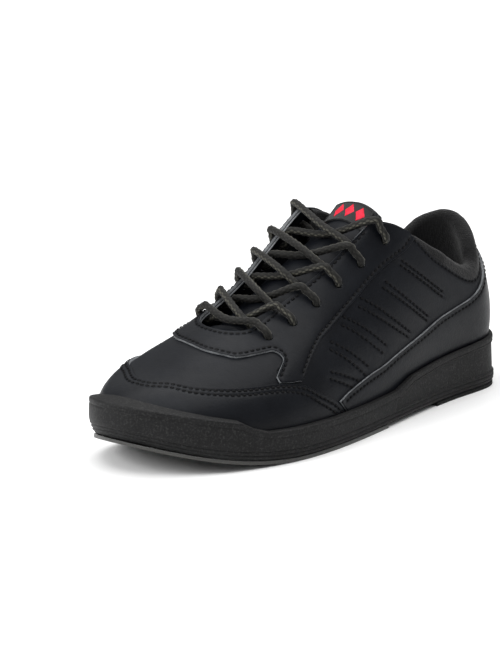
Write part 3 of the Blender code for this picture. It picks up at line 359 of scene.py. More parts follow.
def normal(u, t):
    """Outward unit normal of the upper."""
    u, t = np.broadcast_arrays(np.asarray(u, float), np.asarray(t, float))
    d = 0.01
    inner_t = np.clip(t, 0.0, 0.96)
    along = surface(u + d, inner_t) - surface(u - d, inner_t)
    up = surface(u, np.clip(t + d, 0, 1)) - surface(u, np.clip(t - d, 0, 1))
    n = np.cross(up, along)
    return n / np.linalg.norm(n, axis=-1, keepdims=True)


def rib_length(u):
    t = np.linspace(0.0, 1.0, 9)
    points = [surface(u, k) for k in t]
    return sum(np.linalg.norm(points[i + 1] - points[i], axis=-1) for i in range(8))


def offset(u, t, out):
    """Point at a distance outside the upper; t may pass 1, straight on along the rib."""
    t = np.asarray(t, float)
    out = np.asarray(out, float)
    inside = np.clip(t, 0.0, 1.0)
    step = surface(u, 1.0) - surface(u, 0.97)
    step = step / np.linalg.norm(step, axis=-1, keepdims=True)
    beyond = ((t - inside) * rib_length(u))[..., None] * step
    return surface(u, inside) + beyond + normal(u, inside) * out[..., None]


# ---------------------------------------------------------------------------
# Building blocks
# ---------------------------------------------------------------------------
def footprint_centre():
    u = np.linspace(0, STATIONS, 1601)
    x, y = edge_x(u), edge_y(u)
    return Vector(((x.min() + x.max()) / 2, (y.min() + y.max()) / 2, 0.0))


def station_grid():
    """Stations of the fine surface."""
    per_span = [14, 14, 12, 12, 14, 14, 16, 16]
    half = [i + k / n for i, n in enumerate(per_span) for k in range(n)]
    return np.array(half + [8.0] + [STATIONS - s for s in half[:0:-1]])


GRID_U = station_grid()
GRID_T = np.linspace(0.0, 1.0, 46)


def stations_between(first, last):
    """Grid stations from first to last, which may be below 0 or above 16, with both ends."""
    wide = np.concatenate([GRID_U - STATIONS, GRID_U, GRID_U + STATIONS])
    low, high = min(first, last), max(first, last)
    inner = wide[(wide > low + 0.08) & (wide < high - 0.08)]
    result = np.concatenate([[low], inner, [high]])
    return result if last > first else result[::-1]


def level(first, last, t):
    """Outline stretch at one share of the ribs."""
    return [(u, t) for u in stations_between(first, last)]


def upright(u, first, last):
    """Outline stretch along one rib."""
    inner = [t for t in GRID_T if min(first, last) + 0.04 < t < max(first, last) - 0.04]
    if last < first:
        inner = inner[::-1]
    return [(u, t) for t in [first] + inner + [last]]


def shifted(points, du, dt):
    return [(u + du, t + dt) for u, t in points]


def chart(u, t):
    """Flat map of the upper, used to lay out its facets."""
    nx, ny = outward(u)
    q = top_point(u)
    reach = rib_length(u) * (1.0 - t)
    return q[..., 0] + nx * reach, q[..., 1] + ny * reach


def inside_polygon(x, y, polygon):
    inside = np.zeros(np.shape(x), bool)
    px, py = polygon[:, 0], polygon[:, 1]
    j = len(polygon) - 1
    for i in range(len(polygon)):
        crosses = (py[i] > y) != (py[j] > y)
        slope = (px[j] - px[i]) / ((py[j] - py[i]) if py[j] != py[i] else 1e-12)
        inside ^= crosses & (x < px[i] + slope * (y - py[i]))
        j = i
    return inside


def line_distance(x, y, line):
    """Distance of flat points from a line."""
    best = np.full(np.shape(x), 1e9)
    for i in range(len(line) - 1):
        a, b = line[i], line[i + 1]
        d = b - a
        w = np.clip(((x - a[0]) * d[0] + (y - a[1]) * d[1]) / max(d @ d, 1e-12), 0, 1)
        best = np.minimum(best, np.hypot(x - a[0] - w * d[0], y - a[1] - w * d[1]))
    return best


def edge_distance(x, y, polygon):
    """Distance of flat points from a closed outline."""
    return line_distance(x, y, np.vstack([polygon[-1:], polygon]))


def border(faces):
    """Directed edges that belong to one face only."""
    seen = {}
    for face in faces:
        for i in range(len(face)):
            a, b = face[i - 1], face[i]
            seen[(a, b)] = True
    return [(a, b) for a, b in seen if (b, a) not in seen]


def thicken(outer, inner, faces):
    """Closed shell between two copies of the same facets."""
    count = len(outer)
    closed = [tuple(f) for f in faces]
    closed += [tuple(i + count for i in reversed(f)) for f in faces]
    closed += [(b, a, a + count, b + count) for a, b in border(faces)]
    return np.vstack([outer, inner]), closed


def station_at(x, inset):
    """Station on the outer side where the inset edge reaches a distance from the heel."""
    low, high = 0.0, 8.0
    for _ in range(50):
        middle = (low + high) / 2
        if inset_edge(middle, inset)[0] < x:
            low = middle
        else:
            high = middle
    return (low + high) / 2


OVERLAY_HIGH = LAYER_GAP + LEATHER
STIFFENER_HIGH = -LEATHER - LAYER_GAP
STIFFENER_LOW = STIFFENER_HIGH - STIFFENER
LINING_HIGH = STIFFENER_LOW - LAYER_GAP
LINING_LOW = LINING_HIGH - LINING


def share_at_height(u, height):
    """Share of the rib at which the upper reaches a height."""
    low = np.zeros_like(u)
    high = np.full_like(u, 0.8)
    for _ in range(40):
        middle = (low + high) / 2
        below = surface(u, middle)[:, 2] < height
        low = np.where(below, middle, low)
        high = np.where(below, high, middle)
    return (low + high) / 2


def band_share(u):
    """Share of the rib where the leather stops below the knitted band of the collar."""
    s = folded(u)
    covered = 1.0 - COLLAR_BAND / rib_length(u)
    return covered + (1.0 - covered) * smooth((s - 2.45) / 0.45)


def top_edge(first, last):
    return [(u, float(band_share(u))) for u in stations_between(first, last)]


def round_hole(u, t, radius, sides=28):
    """Circle round a point of the upper, as (station, share) pairs."""
    d = 0.001
    along = (surface(u + d, t) - surface(u - d, t)) / (2 * d)
    up = (surface(u, t + d) - surface(u, t - d)) / (2 * d)
    e1 = along / np.linalg.norm(along)
    e2 = up - e1 * (up @ e1)
    e2 = e2 / np.linalg.norm(e2)
    matrix = np.array([[along @ e1, up @ e1], [along @ e2, up @ e2]])
    circle = []
    for k in range(sides):
        angle = 2 * math.pi * k / sides
        step = np.linalg.solve(matrix, [radius * math.cos(angle), radius * math.sin(angle)])
        circle.append((u + step[0], t + step[1]))
    return circle


def eyelet_holes(on_inner):
    spots = [(STATIONS - u, t) if on_inner else (u, t) for u, t in EYELETS]
    return [round_hole(u, t, EYELET_RADIUS) for u, t in spots]


def vamp_rear():
    """Rear edge of the vamp on the outer side, hidden under the saddle, from the bottom up."""
    low = [(5.12, 0.0), (5.14, 0.2)]
    return style(low + shifted(SADDLE_FRONT, -0.04, 0.010)[:-1] + [(5.92, 1.0)])


def padding(u):
    """Thickness of the collar's foam, thin towards the eyestay."""
    return COLLAR_PADDING * (0.12 + 0.88 * smooth((3.0 - folded(u)) / 1.2))


def collar_path(u, skin, steps):
    """(share, distance) pairs from the leather's edge, over the top and down the inside."""
    length = float(rib_length(u))
    pad = float(padding(u))
    deep = LINING_LOW - pad + skin
    tucked = smooth((float(folded(u)) - 2.3) / 0.25)
    shallow = -0.1 * MM - skin - tucked * (LEATHER + LAYER_GAP)
    radius = (shallow - deep) / 2
    crown = 1.0 - (radius + skin) / length
    path = []
    for k in range(steps + 1):
        angle = math.pi * k / steps
        out = (shallow + deep) / 2 + radius * math.cos(angle)
        path.append((crown + radius * math.sin(angle) / length, out))
    inner = LINING_LOW + skin
    path.append((0.78, deep))
    path.append((0.62, deep + 0.12 * pad))
    path.append((0.50, deep + 0.55 * pad))
    path.append((0.40, inner))
    return path, inner


def place(u, path):
    path = np.array(path)
    return offset(np.full(len(path), float(u)), path[:, 0], path[:, 1])


def tongue_surface(s, v):
    """Top face of the tongue: s = 0 at its stitched end to 1 at its free end, v = -1 to 1 across."""
    rows = open_curve([
        (r[0] * SOLE_LENGTH, r[1] * BALL_WIDTH, r[2] * BALL_WIDTH, r[3] * LAST_HEIGHT, r[4] * LAST_HEIGHT)
        for r in TONGUE_LINE
    ], 6)
    at = np.asarray(s) * (len(rows) - 1)
    x, y, half, z, drop = [np.interp(at, np.arange(len(rows)), rows[:, k]) for k in range(5)]
    v = np.asarray(v)
    lean = TONGUE_LEAN * smooth(np.asarray(s) / 0.3) * (1.0 - smooth((np.asarray(s) - 0.6) / 0.3))
    return np.stack([x, y + half * v, z - drop * v ** 2 - lean * v], -1)


def tongue_normal(s, v):
    d = 0.01
    along = tongue_surface(np.clip(s + d, 0, 1), v) - tongue_surface(np.clip(s - d, 0, 1), v)
    across = tongue_surface(s, v + d) - tongue_surface(s, v - d)
    n = np.cross(across, along)
    n = n / np.linalg.norm(n, axis=-1, keepdims=True)
    return n * np.sign(n[..., 2:3])


def eyelet(index, on_inner):
    """Centre, normal and direction to the throat of a lace hole."""
    u, t = EYELETS[index]
    if on_inner:
        u = STATIONS - u
    centre = surface(u, t)
    out = normal(u, t)
    inwards = surface(u, t + 0.02) - surface(u, t - 0.02)
    inwards = inwards - out * (inwards @ out)
    return centre, out, inwards / np.linalg.norm(inwards)


LACE_OVER = OVERLAY_HIGH + 2 * CLEARANCE + LACE_DIAMETER / 2
LACE_UNDER = -LEATHER - 2.5 * CLEARANCE - LACE_DIAMETER / 2
INTO_LIFT = 0.45 * MM
FROM_DROP = 0.1 * MM
FLAP_MARGIN = 0.5 * MM
STRAIGHTEN = 1.2
LOWER_LIFT = 0.4 * MM
UPPER_LIFT = 6.6 * MM
BAR_LIFT = 7.0 * MM


def flap_spot(index, on_inner, other, distance):
    """(u, t) at a distance from a hole towards a hole of the other flap."""
    u, t = EYELETS[index]
    if on_inner:
        u = STATIONS - u
    h = 0.01
    base = surface(u, t)
    along = (surface(u + h, t) - surface(u - h, t)) / (2 * h)
    up = (surface(u, t + h) - surface(u, t - h)) / (2 * h)
    aim = eyelet(other, not on_inner)[0] - base
    aim = aim / np.linalg.norm(aim) + eyelet(index, on_inner)[2] * STRAIGHTEN
    du, dt = np.linalg.lstsq(np.stack([along, up], -1), aim, rcond=None)[0]
    size = np.linalg.norm(along * du + up * dt)
    return u + du / size * distance, min(t + dt / size * distance, 1.0)


def over_flap(index, on_inner, other, distance, height):
    """Point at a distance from a hole, and at a height over its flap."""
    u, t = flap_spot(index, on_inner, other, distance)
    return surface(u, t) + normal(u, t) * height


def flap_reach(index, on_inner, other):
    """Distance from a hole to just past its flap's edge."""
    edge = np.array(style(THROAT))
    reach = 8.0 * MM
    while reach < 15.0 * MM:
        u, t = flap_spot(index, on_inner, other, reach)
        if t >= np.interp(folded(u), edge[:, 0], edge[:, 1]) or t >= 1.0:
            break
        reach += 0.5 * MM
    return reach + FLAP_MARGIN


def on_tongue(x, y, height):
    """Point over the tongue at a plan position."""
    s = np.linspace(0.0, 1.0, 400)
    middle = tongue_surface(s, np.zeros(400))
    at = float(np.interp(-x, -middle[:, 0], s))
    at = np.array(at)
    centre = tongue_surface(at, 0.0)[1]
    across = np.array((y - centre) / (tongue_surface(at, 1.0)[1] - centre))
    return tongue_surface(at, across) + tongue_normal(at, across) * height


def into_eyelet(index, on_inner, other):
    """Route from the throat, over the flap and down through a hole."""
    c, n, _ = eyelet(index, on_inner)
    steps = [(8.0, LACE_OVER + INTO_LIFT), (3.4, LACE_OVER), (1.0, LACE_OVER - 0.9 * MM)]
    return [over_flap(index, on_inner, other, d * MM, h) for d, h in steps] + [c + n * (LACE_OVER - 2.9 * MM)]


def from_eyelet(index, on_inner, other):
    """Route from a hole, back under the flap into the throat."""
    c, n, _ = eyelet(index, on_inner)
    steps = [(1.0, LACE_UNDER + 0.9 * MM), (3.4, LACE_UNDER - FROM_DROP), (8.5, LACE_UNDER - FROM_DROP)]
    route = [c + n * (LACE_UNDER + 2.9 * MM)]
    return route + [over_flap(index, on_inner, other, d * MM, h) for d, h in steps]


def crossing(index, from_inner):
    """Middle of a strand that goes over the tongue from one hole to the next pair's opposite one."""
    reach = flap_reach(index, from_inner, index + 1)
    start = over_flap(index, from_inner, index + 1, reach, LACE_UNDER - FROM_DROP)
    reach = flap_reach(index + 1, not from_inner, index)
    end = over_flap(index + 1, not from_inner, index, reach, LACE_OVER + INTO_LIFT)
    share, lift = (0.47, LOWER_LIFT) if from_inner else (0.40, UPPER_LIFT)
    x, y, _ = start + (end - start) * share
    return [start, on_tongue(x, y, LACE_DIAMETER / 2 + lift), end]


def lace_route(on_inner):
    """One half of the lace, from the middle of the lowest bar up to its last hole."""
    a, b = (over_flap(0, side, 0, flap_reach(0, side, 0), LACE_OVER + INTO_LIFT) for side in (False, True))
    middle = (a + b) / 2
    route = [on_tongue(middle[0], middle[1], LACE_DIAMETER / 2 + BAR_LIFT)]
    route.append(b if on_inner else a)
    here = on_inner
    for index in range(len(EYELETS)):
        route += into_eyelet(index, here, max(index - 1, 0))
        if index == len(EYELETS) - 1:
            route += [np.array(p) * MM for p in (LACE_TUCK_INNER if here else LACE_TUCK_OUTER)]
            break
        route += from_eyelet(index, here, index + 1)
        route += crossing(index, here)
        here = not here
    return route


SHIFT = np.array(footprint_centre())


# ---------------------------------------------------------------------------
# Materials
# ---------------------------------------------------------------------------
class Value:
    """An output in a material, with the operators that add its Math nodes."""

    def __init__(self, look, socket):
        self.look = look
        self.socket = socket

    def math(self, operation, other=None, swapped=False):
        pair = (other, self) if swapped else (self, other)
        inputs = {k: v for k, v in enumerate(pair) if v is not None}
        return self.look.node("ShaderNodeMath", {"operation": operation}, inputs)

    def __add__(self, other):
        return self.math("ADD", other)

    __radd__ = __add__

    def __rsub__(self, other):
        return self.math("SUBTRACT", other, True)

    def __mul__(self, other):
        return self.math("MULTIPLY", other)

    __rmul__ = __mul__

    def limited(self):
        return self.look.node("ShaderNodeClamp", {}, {0: self})


class Look:
    """One material being made, on a Principled shader."""

    def __init__(self, name, **fixed):
        self.material = bpy.data.materials.new(name)
        self.material.use_nodes = True
        self.nodes = self.material.node_tree.nodes
        self.shader = self.nodes["Principled BSDF"]
        for key, value in fixed.items():
            self.shader.inputs[key.replace("_", " ")].default_value = value
        self.place = self.node("ShaderNodeTexCoord", out="Object")

    def node(self, kind, settings=None, inputs=None, out=0):
        made = self.nodes.new(kind)
        for key, value in (settings or {}).items():
            if key == "stops":
                ramp = made.color_ramp
                while len(ramp.elements) < len(value):
                    ramp.elements.new(0.5)
                for element, (position, colour) in zip(ramp.elements, value):
                    element.position = position
                    element.color = (*colour, 1.0)
            else:
                setattr(made, key, value)
        for key, value in (inputs or {}).items():
            self.feed(made.inputs[key], value)
        return Value(self, made.outputs[out])

    def feed(self, socket, value):
        if isinstance(value, Value):
            self.material.node_tree.links.new(value.socket, socket)
        elif isinstance(value, tuple) and len(value) == 3 and socket.type == "RGBA":
            socket.default_value = (*value, 1.0)
        else:
            socket.default_value = value

    def noise(self, scale, detail=3.0, rough=0.55, place=None):
        return self.node("ShaderNodeTexNoise", {}, {
            "Vector": place or self.place, "Scale": scale, "Detail": detail, "Roughness": rough})

    def cells(self, scale, feature="F1", place=None, out="Distance", random=1.0):
        return self.node("ShaderNodeTexVoronoi", {"feature": feature}, {
            "Vector": place or self.place, "Scale": scale, "Randomness": random}, out)

    def stretched(self, scale, turn=(0.0, 0.0, 0.0)):
        return self.node("ShaderNodeMapping", {}, {"Vector": self.place, "Scale": scale, "Rotation": turn})

    def span(self, value, low, high, to_low=0.0, to_high=1.0):
        return self.node("ShaderNodeMapRange", {}, {
            0: value, 1: low, 2: high, 3: to_low, 4: to_high})

    def mix(self, share, first, second):
        return self.node("ShaderNodeMix", {"data_type": "RGBA"}, {0: share, 6: first, 7: second}, 2)

    def bump(self, height, distance, strength=1.0, after=None):
        inputs = {"Height": height, "Distance": distance, "Strength": strength}
        if after is not None:
            inputs["Normal"] = after
        return self.node("ShaderNodeBump", {}, inputs)

    def attribute(self, name):
        return self.node("ShaderNodeAttribute", {"attribute_name": name}, {}, "Fac")

    def set(self, name, value):
        self.feed(self.shader.inputs[name], value)
        return self


def leather_look(name, dark, light, rough):
    """Smooth coated leather: fine pebble, faint creases, scuffs that change the sheen."""
    look = Look(name, Specular_IOR_Level=0.11, Coat_Roughness=0.26, Coat_IOR=1.40)
    patches = look.noise(38.0, 4.0)
    scuffs = look.noise(210.0, 5.0, 0.7, look.stretched((1.0, 0.55, 1.4), (0.3, 0.2, 0.5)))
    pebble = look.cells(1150.0, "SMOOTH_F1")
    pores = look.noise(2600.0, 2.0)
    creases = look.cells(330.0, "DISTANCE_TO_EDGE", look.stretched((1.0, 0.7, 1.0)))
    colour = look.mix(look.span(patches, 0.35, 0.7), dark, light)
    look.set("Base Color", look.mix(look.span(scuffs, 0.62, 0.8, 0.0, 0.35), colour, (0.012, 0.014, 0.017)))
    look.set("Roughness", look.span(patches + scuffs * 0.6, 0.5, 1.1, rough - 0.05, rough + 0.09))
    look.set("Coat Weight", look.span(scuffs, 0.45, 0.75, 0.07, 0.02))
    grain = look.bump(pebble, 0.00010, 0.55)
    grain = look.bump(pores, 0.00005, 0.4, grain)
    look.set("Normal", look.bump(look.span(creases, 0.0, 0.10), 0.00008, 0.30, grain))
    return look.material


def cut_edge_look():
    """Cut edge of the leather: pale fibres, their grey partly their own colour and partly a painted highlight
    for the light that the edges catch.
    """
    look = Look("cut_edge", Specular_IOR_Level=0.3)
    fibres = look.noise(1500.0, 4.0, 0.7)
    patches = look.noise(120.0, 3.0)
    # painted highlight: the pale grey stands partly for light caught by the cut edges and partly for the raw
    # fibres' own colour
    colour = look.mix(look.span(fibres, 0.35, 0.65), (0.070, 0.074, 0.080), (0.24, 0.25, 0.26))
    look.set("Base Color", look.mix(look.span(patches, 0.45, 0.75, 0.0, 0.7), colour, (0.018, 0.020, 0.022)))
    look.set("Roughness", look.span(fibres, 0.3, 0.7, 0.62, 0.85))
    look.set("Normal", look.bump(fibres, 0.0002, 0.6))
    return look.material


def thread_look(name, dark, light, rough=0.55):
    """Twisted sewing thread."""
    look = Look(name, Specular_IOR_Level=0.15)
    twist = look.noise(3800.0, 2.0)
    patches = look.noise(300.0, 2.0)
    look.set("Base Color", look.mix(look.span(twist + patches * 0.4, 0.5, 0.95), dark, light))
    look.set("Roughness", look.span(twist, 0.3, 0.7, rough - 0.1, rough + 0.15))
    look.set("Normal", look.bump(twist, 0.00012, 0.6))
    return look.material


def rubber_look(name, dark, light, rough, pebbles=1500.0, depth=0.00022):
    """Moulded rubber with a pebbled mould texture and faint scuffs."""
    look = Look(name, Specular_IOR_Level=0.16)
    pebble = look.cells(pebbles, "SMOOTH_F1")
    mottled = look.noise(pebbles * 0.6, 3.0, 0.6)
    patches = look.noise(55.0, 4.0)
    dust = look.noise(420.0, 5.0, 0.75)
    tone = look.mix(look.span(patches, 0.35, 0.7), dark, light)
    tone = look.mix(look.span(mottled, 0.5, 0.75, 0.0, 0.6), tone, (0.046, 0.046, 0.045))
    look.set("Base Color", look.mix(look.span(dust, 0.62, 0.8, 0.0, 0.3), tone, (0.050, 0.050, 0.049)))
    look.set("Roughness", look.span(patches + dust * 0.5, 0.5, 1.0, rough - 0.06, rough + 0.10))
    rough_skin = look.bump(pebble, depth, 0.8)
    look.set("Normal", look.bump(mottled, depth * 0.6, 0.5, rough_skin))
    return look.material


def fabric_look(name, dark, light, threads=950.0, depth=0.00025, sheen=0.25, fuzzy=0.3):
    """Knitted or woven cloth: two thread directions, with fuzz, and painted shade in the hollows between the
    loops.
    """
    look = Look(name, Specular_IOR_Level=0.12, Sheen_Weight=sheen, Sheen_Roughness=0.5)
    loops = look.cells(threads, "F1", look.stretched((1.0, 1.0, 1.35)), random=0.45)
    fuzz = look.noise(threads * 2.4, 4.0, 0.75)
    patches = look.noise(70.0, 3.0)
    # painted shade: the colour goes darker where the loops' bump is low, in the hollows between them; the
    # fuzz adds random tone
    shade = loops * 0.9 + fuzz * fuzzy
    colour = look.mix(look.span(shade, 0.25, 0.85), light, dark)
    look.set("Base Color", look.mix(look.span(patches, 0.4, 0.75, 0.0, 0.45), colour, dark))
    look.set("Roughness", look.span(fuzz, 0.3, 0.7, 0.82, 0.98))
    weave = look.bump(1.0 - loops, depth, 0.9)
    look.set("Normal", look.bump(fuzz, depth * 0.8, 0.7, weave))
    return look.material


def woven_look(name, dark, light, threads=700.0, rough=0.75):
    """Flat woven tape: warp and weft ribs."""
    look = Look(name, Specular_IOR_Level=0.3, Sheen_Weight=0.15, Sheen_Roughness=0.5)
    warp = look.node("ShaderNodeTexWave", {"bands_direction": "Y"}, {
        "Vector": look.place, "Scale": threads, "Distortion": 0.4, "Detail": 1.0})
    weft = look.node("ShaderNodeTexWave", {"bands_direction": "X"}, {
        "Vector": look.place, "Scale": threads * 0.8, "Distortion": 0.4, "Detail": 1.0})
    fuzz = look.noise(2600.0, 3.0)
    weave = warp * 0.5 + weft * 0.5
    look.set("Base Color", look.mix(look.span(weave + fuzz * 0.3, 0.2, 1.0), dark, light))
    look.set("Roughness", look.span(fuzz, 0.3, 0.7, rough - 0.08, rough + 0.12))
    look.set("Normal", look.bump(weave, 0.00018, 0.7))
    return look.material


def lace_look():
    """Braided lace: dull black yarn with two paler tracer yarns, and painted shade that darkens the braid's
    valleys to near black.
    """
    look = Look("lace_yarn", Specular_IOR_Level=0.22, Sheen_Weight=0.08, Sheen_Roughness=0.45)
    fibres = look.noise(3200.0, 4.0, 0.7)
    patches = look.noise(160.0, 3.0)
    tracer = look.attribute("tracer")
    plait = look.attribute("plait")
    yarn = look.mix(look.span(fibres, 0.3, 0.75), (0.0060, 0.0058, 0.0048), (0.0210, 0.0200, 0.0165))
    # painted shade: where the plait relief is low, in the braid's valleys, the yarn colour is mixed to near
    # black
    yarn = look.mix(look.span(plait, 0.15, 0.9), (0.0012, 0.0012, 0.0010), yarn)
    pale = look.mix(look.span(fibres, 0.3, 0.7), (0.050, 0.048, 0.038), (0.130, 0.125, 0.100))
    # the tracers' paler colour is their own; the same painted shade hides them in the valleys
    look.set("Base Color", look.mix((tracer * look.span(plait, 0.25, 0.7)).limited(), yarn, pale))
    look.set("Roughness", look.span(fibres + patches * 0.3, 0.4, 0.9, 0.58, 0.8))
    look.set("Normal", look.bump(fibres, 0.00015, 0.6))
    return look.material


def board_look(name, dark, light, rough=0.85, metallic=0.0):
    """Plain inner material: fibre board, foam or steel with its own speckle."""
    look = Look(name, Metallic=metallic)
    speckle = look.noise(900.0, 4.0, 0.7)
    patches = look.noise(45.0, 3.0)
    look.set("Base Color", look.mix(look.span(speckle + patches * 0.4, 0.5, 0.95), dark, light))
    look.set("Roughness", look.span(speckle, 0.3, 0.7, rough - 0.08, rough + 0.08))
    look.set("Normal", look.bump(speckle, 0.00015, 0.4))
    return look.material


def aglet_look():
    """Crimped clear film over the yarn."""
    look = Look("aglet_film", Specular_IOR_Level=0.6, Coat_Weight=0.6, Coat_Roughness=0.08)
    streaks = look.noise(900.0, 3.0, 0.6, look.stretched((1.0, 1.0, 0.2)))
    look.set("Base Color", look.mix(look.span(streaks, 0.35, 0.7), (0.02, 0.02, 0.019), (0.10, 0.10, 0.095)))
    look.set("Roughness", look.span(streaks, 0.3, 0.7, 0.12, 0.28))
    look.set("Normal", look.bump(streaks, 0.00008, 0.4))
    return look.material


LOOKS = {
    "leather": leather_look("smooth_leather", (0.0028, 0.0034, 0.0050), (0.0052, 0.0062, 0.0086), 0.43),
    "overlay": leather_look("overlay_leather", (0.0030, 0.0036, 0.0052), (0.0056, 0.0066, 0.0090), 0.40),
    "edge": cut_edge_look(),
    "thread": thread_look("black_thread", (0.0008, 0.0008, 0.0009), (0.0040, 0.0040, 0.0048), 0.7),
    "red": thread_look("red_thread", (0.50, 0.006, 0.022), (0.95, 0.035, 0.075), 0.5),
    "rubber": rubber_look("cup_rubber", (0.0050, 0.0050, 0.0052), (0.0105, 0.0105, 0.0110), 0.58),
    "tread": rubber_look("tread_rubber", (0.0055, 0.0055, 0.0055), (0.011, 0.011, 0.011), 0.7, 900.0, 0.0003),
    "slide": fabric_look("slide_nap", (0.055, 0.055, 0.053), (0.115, 0.115, 0.110), 1300.0, 0.00015,
                         0.3, 0.8),
    "knit": fabric_look("collar_knit", (0.0020, 0.0020, 0.0022), (0.0085, 0.0085, 0.0090), 820.0, 0.00040,
                        0.14, 0.45),
    "lining": fabric_look("lining_mesh", (0.003, 0.003, 0.0032), (0.011, 0.011, 0.0115), 900.0, 0.0003, 0.12),
    "sock": fabric_look("footbed_cloth", (0.005, 0.005, 0.0055), (0.016, 0.016, 0.017), 700.0, 0.0003, 0.12),
    "patch": woven_look("patch_weave", (0.003, 0.003, 0.0033), (0.014, 0.014, 0.015)),
    "tape": woven_look("binding_tape", (0.004, 0.004, 0.0045), (0.016, 0.016, 0.017), 900.0),
    "lace": lace_look(),
    "aglet": aglet_look(),
    "foam": board_look("foam_block", (0.16, 0.16, 0.17), (0.30, 0.30, 0.31), 0.92),
    "board": board_look("fibre_board", (0.30, 0.24, 0.17), (0.50, 0.42, 0.31)),
    "steel": board_look("shank_steel", (0.40, 0.40, 0.42), (0.62, 0.62, 0.63), 0.35, 1.0),
}


# ---------------------------------------------------------------------------
# Mesh helpers
# ---------------------------------------------------------------------------
def add_piece(name, vertices, faces, looks, body="shoe", replaces=(), marks=None, values=None,
              sharp=38.0):
    """Object from last-frame points that rides on a body and may stand for CAD nodes."""
    mesh = bpy.data.meshes.new(name)
    mesh.from_pydata((np.asarray(vertices) - SHIFT).tolist(), [], [tuple(map(int, f)) for f in faces])
    for look in looks:
        mesh.materials.append(LOOKS[look])
    if marks is not None:
        mesh.polygons.foreach_set("material_index", np.asarray(marks, np.int32))
    for key, numbers in (values or {}).items():
        layer = mesh.attributes.new(key, "FLOAT", "POINT")
        layer.data.foreach_set("value", np.asarray(numbers, np.float32))
    mesh.shade_smooth()
    mesh.set_sharp_from_angle(angle=math.radians(sharp))
    made = bpy.data.objects.new(name, mesh)
    bpy.context.scene.collection.objects.link(made)
    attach(made, body)
    if replaces:
        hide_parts(*replaces)
    return made


def tube_faces(rings, sides, start=0):
    """Quads round a tube of rings, and a face over each end."""
    faces = []
    for i in range(rings - 1):
        for k in range(sides):
            m = (k + 1) % sides
            a = start + i * sides
            faces.append((a + k, a + m, a + sides + m, a + sides + k))
    faces.append(tuple(range(start, start + sides))[::-1])
    faces.append(tuple(range(start + (rings - 1) * sides, start + rings * sides)))
    return faces


def tube_points(points, e1, e2, angle, radius):
    """Ring points of a tube, ring by ring, from its curve's side vectors."""
    ring = e1[:, None, :] * (np.cos(angle) * radius)[..., None]
    ring = ring + e2[:, None, :] * (np.sin(angle) * radius)[..., None]
    return (points[:, None, :] + ring).reshape(-1, 3)


def ripple(points, size, seed=0.0):
    """Soft random waviness between -1 and 1, the same on every run."""
    p = np.asarray(points) / size + seed
    x, y, z = p[..., 0], p[..., 1], p[..., 2]
    total = np.sin(x * 1.3 + np.sin(y * 1.7 + seed)) + np.sin(y * 1.1 + 2.0 * np.sin(z * 1.3))
    return (total + np.sin(z * 1.5 + np.sin(x * 1.9 + 0.7))) / 3.0


def to_spots(u, t, dx, dy):
    """(u, t) of points a small way off on the flat map."""
    h = 1e-3
    x0, y0 = chart(u, t)
    xu, yu = chart(u + h, t)
    xt, yt = chart(u, t + h)
    a, c, b, d = (xu - x0) / h, (yu - y0) / h, (xt - x0) / h, (yt - y0) / h
    det = a * d - b * c
    det = np.where(np.abs(det) < 1e-12, 1e-12, det)
    return u + (d * dx - b * dy) / det, t + (a * dy - c * dx) / det


def flat_of(line):
    line = np.asarray(line, float)
    return np.stack(chart(line[:, 0], line[:, 1]), -1)


def resampled(line, step, closed=False):
    """The line with points at even steps on the flat map."""
    line = np.asarray(line, float)
    if closed:
        line = np.vstack([line, line[:1]])
    flat = flat_of(line)
    result = []
    for i in range(len(line) - 1):
        count = max(1, int(round(np.linalg.norm(flat[i + 1] - flat[i]) / step)))
        if 1.0 < abs(line[i + 1][0] - line[i][0]) < 15.0:
            count = 1
        for k in range(count):
            result.append(line[i] + (line[i + 1] - line[i]) * k / count)
    if not closed:
        result.append(line[-1])
    return np.array(result)


def sideways(flat, closed=False):
    """Unit normals along a flat line."""
    if closed:
        d = np.roll(flat, -1, 0) - np.roll(flat, 1, 0)
    else:
        d = np.gradient(flat, axis=0)
    size = np.maximum(np.linalg.norm(d, axis=1, keepdims=True), 1e-12)
    return np.stack([-d[:, 1], d[:, 0]], -1) / size


def beside(line, distance):
    """A line at a distance beside another on the surface; positive is to its left on the flat map."""
    line = resampled(line, 2.0 * MM)
    side = sideways(flat_of(line))
    u, t = to_spots(line[:, 0], line[:, 1], side[:, 0] * distance, side[:, 1] * distance)
    return np.stack([u, np.minimum(t, 1.0)], -1)


def edge_row(line, distance, outline):
    """Stitch row at a distance from an edge, on the leather's side of it."""
    flat = flat_of(resampled(outline, FACET_STEP, True))
    rows = [beside(line, side * distance) for side in (1.0, -1.0)]
    shares = [inside_polygon(*flat_of(row).T, flat).mean() for row in rows]
    return rows[int(shares[1] > shares[0])]


CORNER = 0.5 * MM
STITCH_DRAWS = ((0.30 * MM, 0.55 * MM), (0.18 * MM, 2.2 * MM))
EDGE_RINGS = (0.22 * MM, 0.55 * MM, 1.0 * MM)
GROOVE_RINGS = (-1.1 * MM, -0.5 * MM, 0.0, 0.5 * MM, 1.1 * MM)


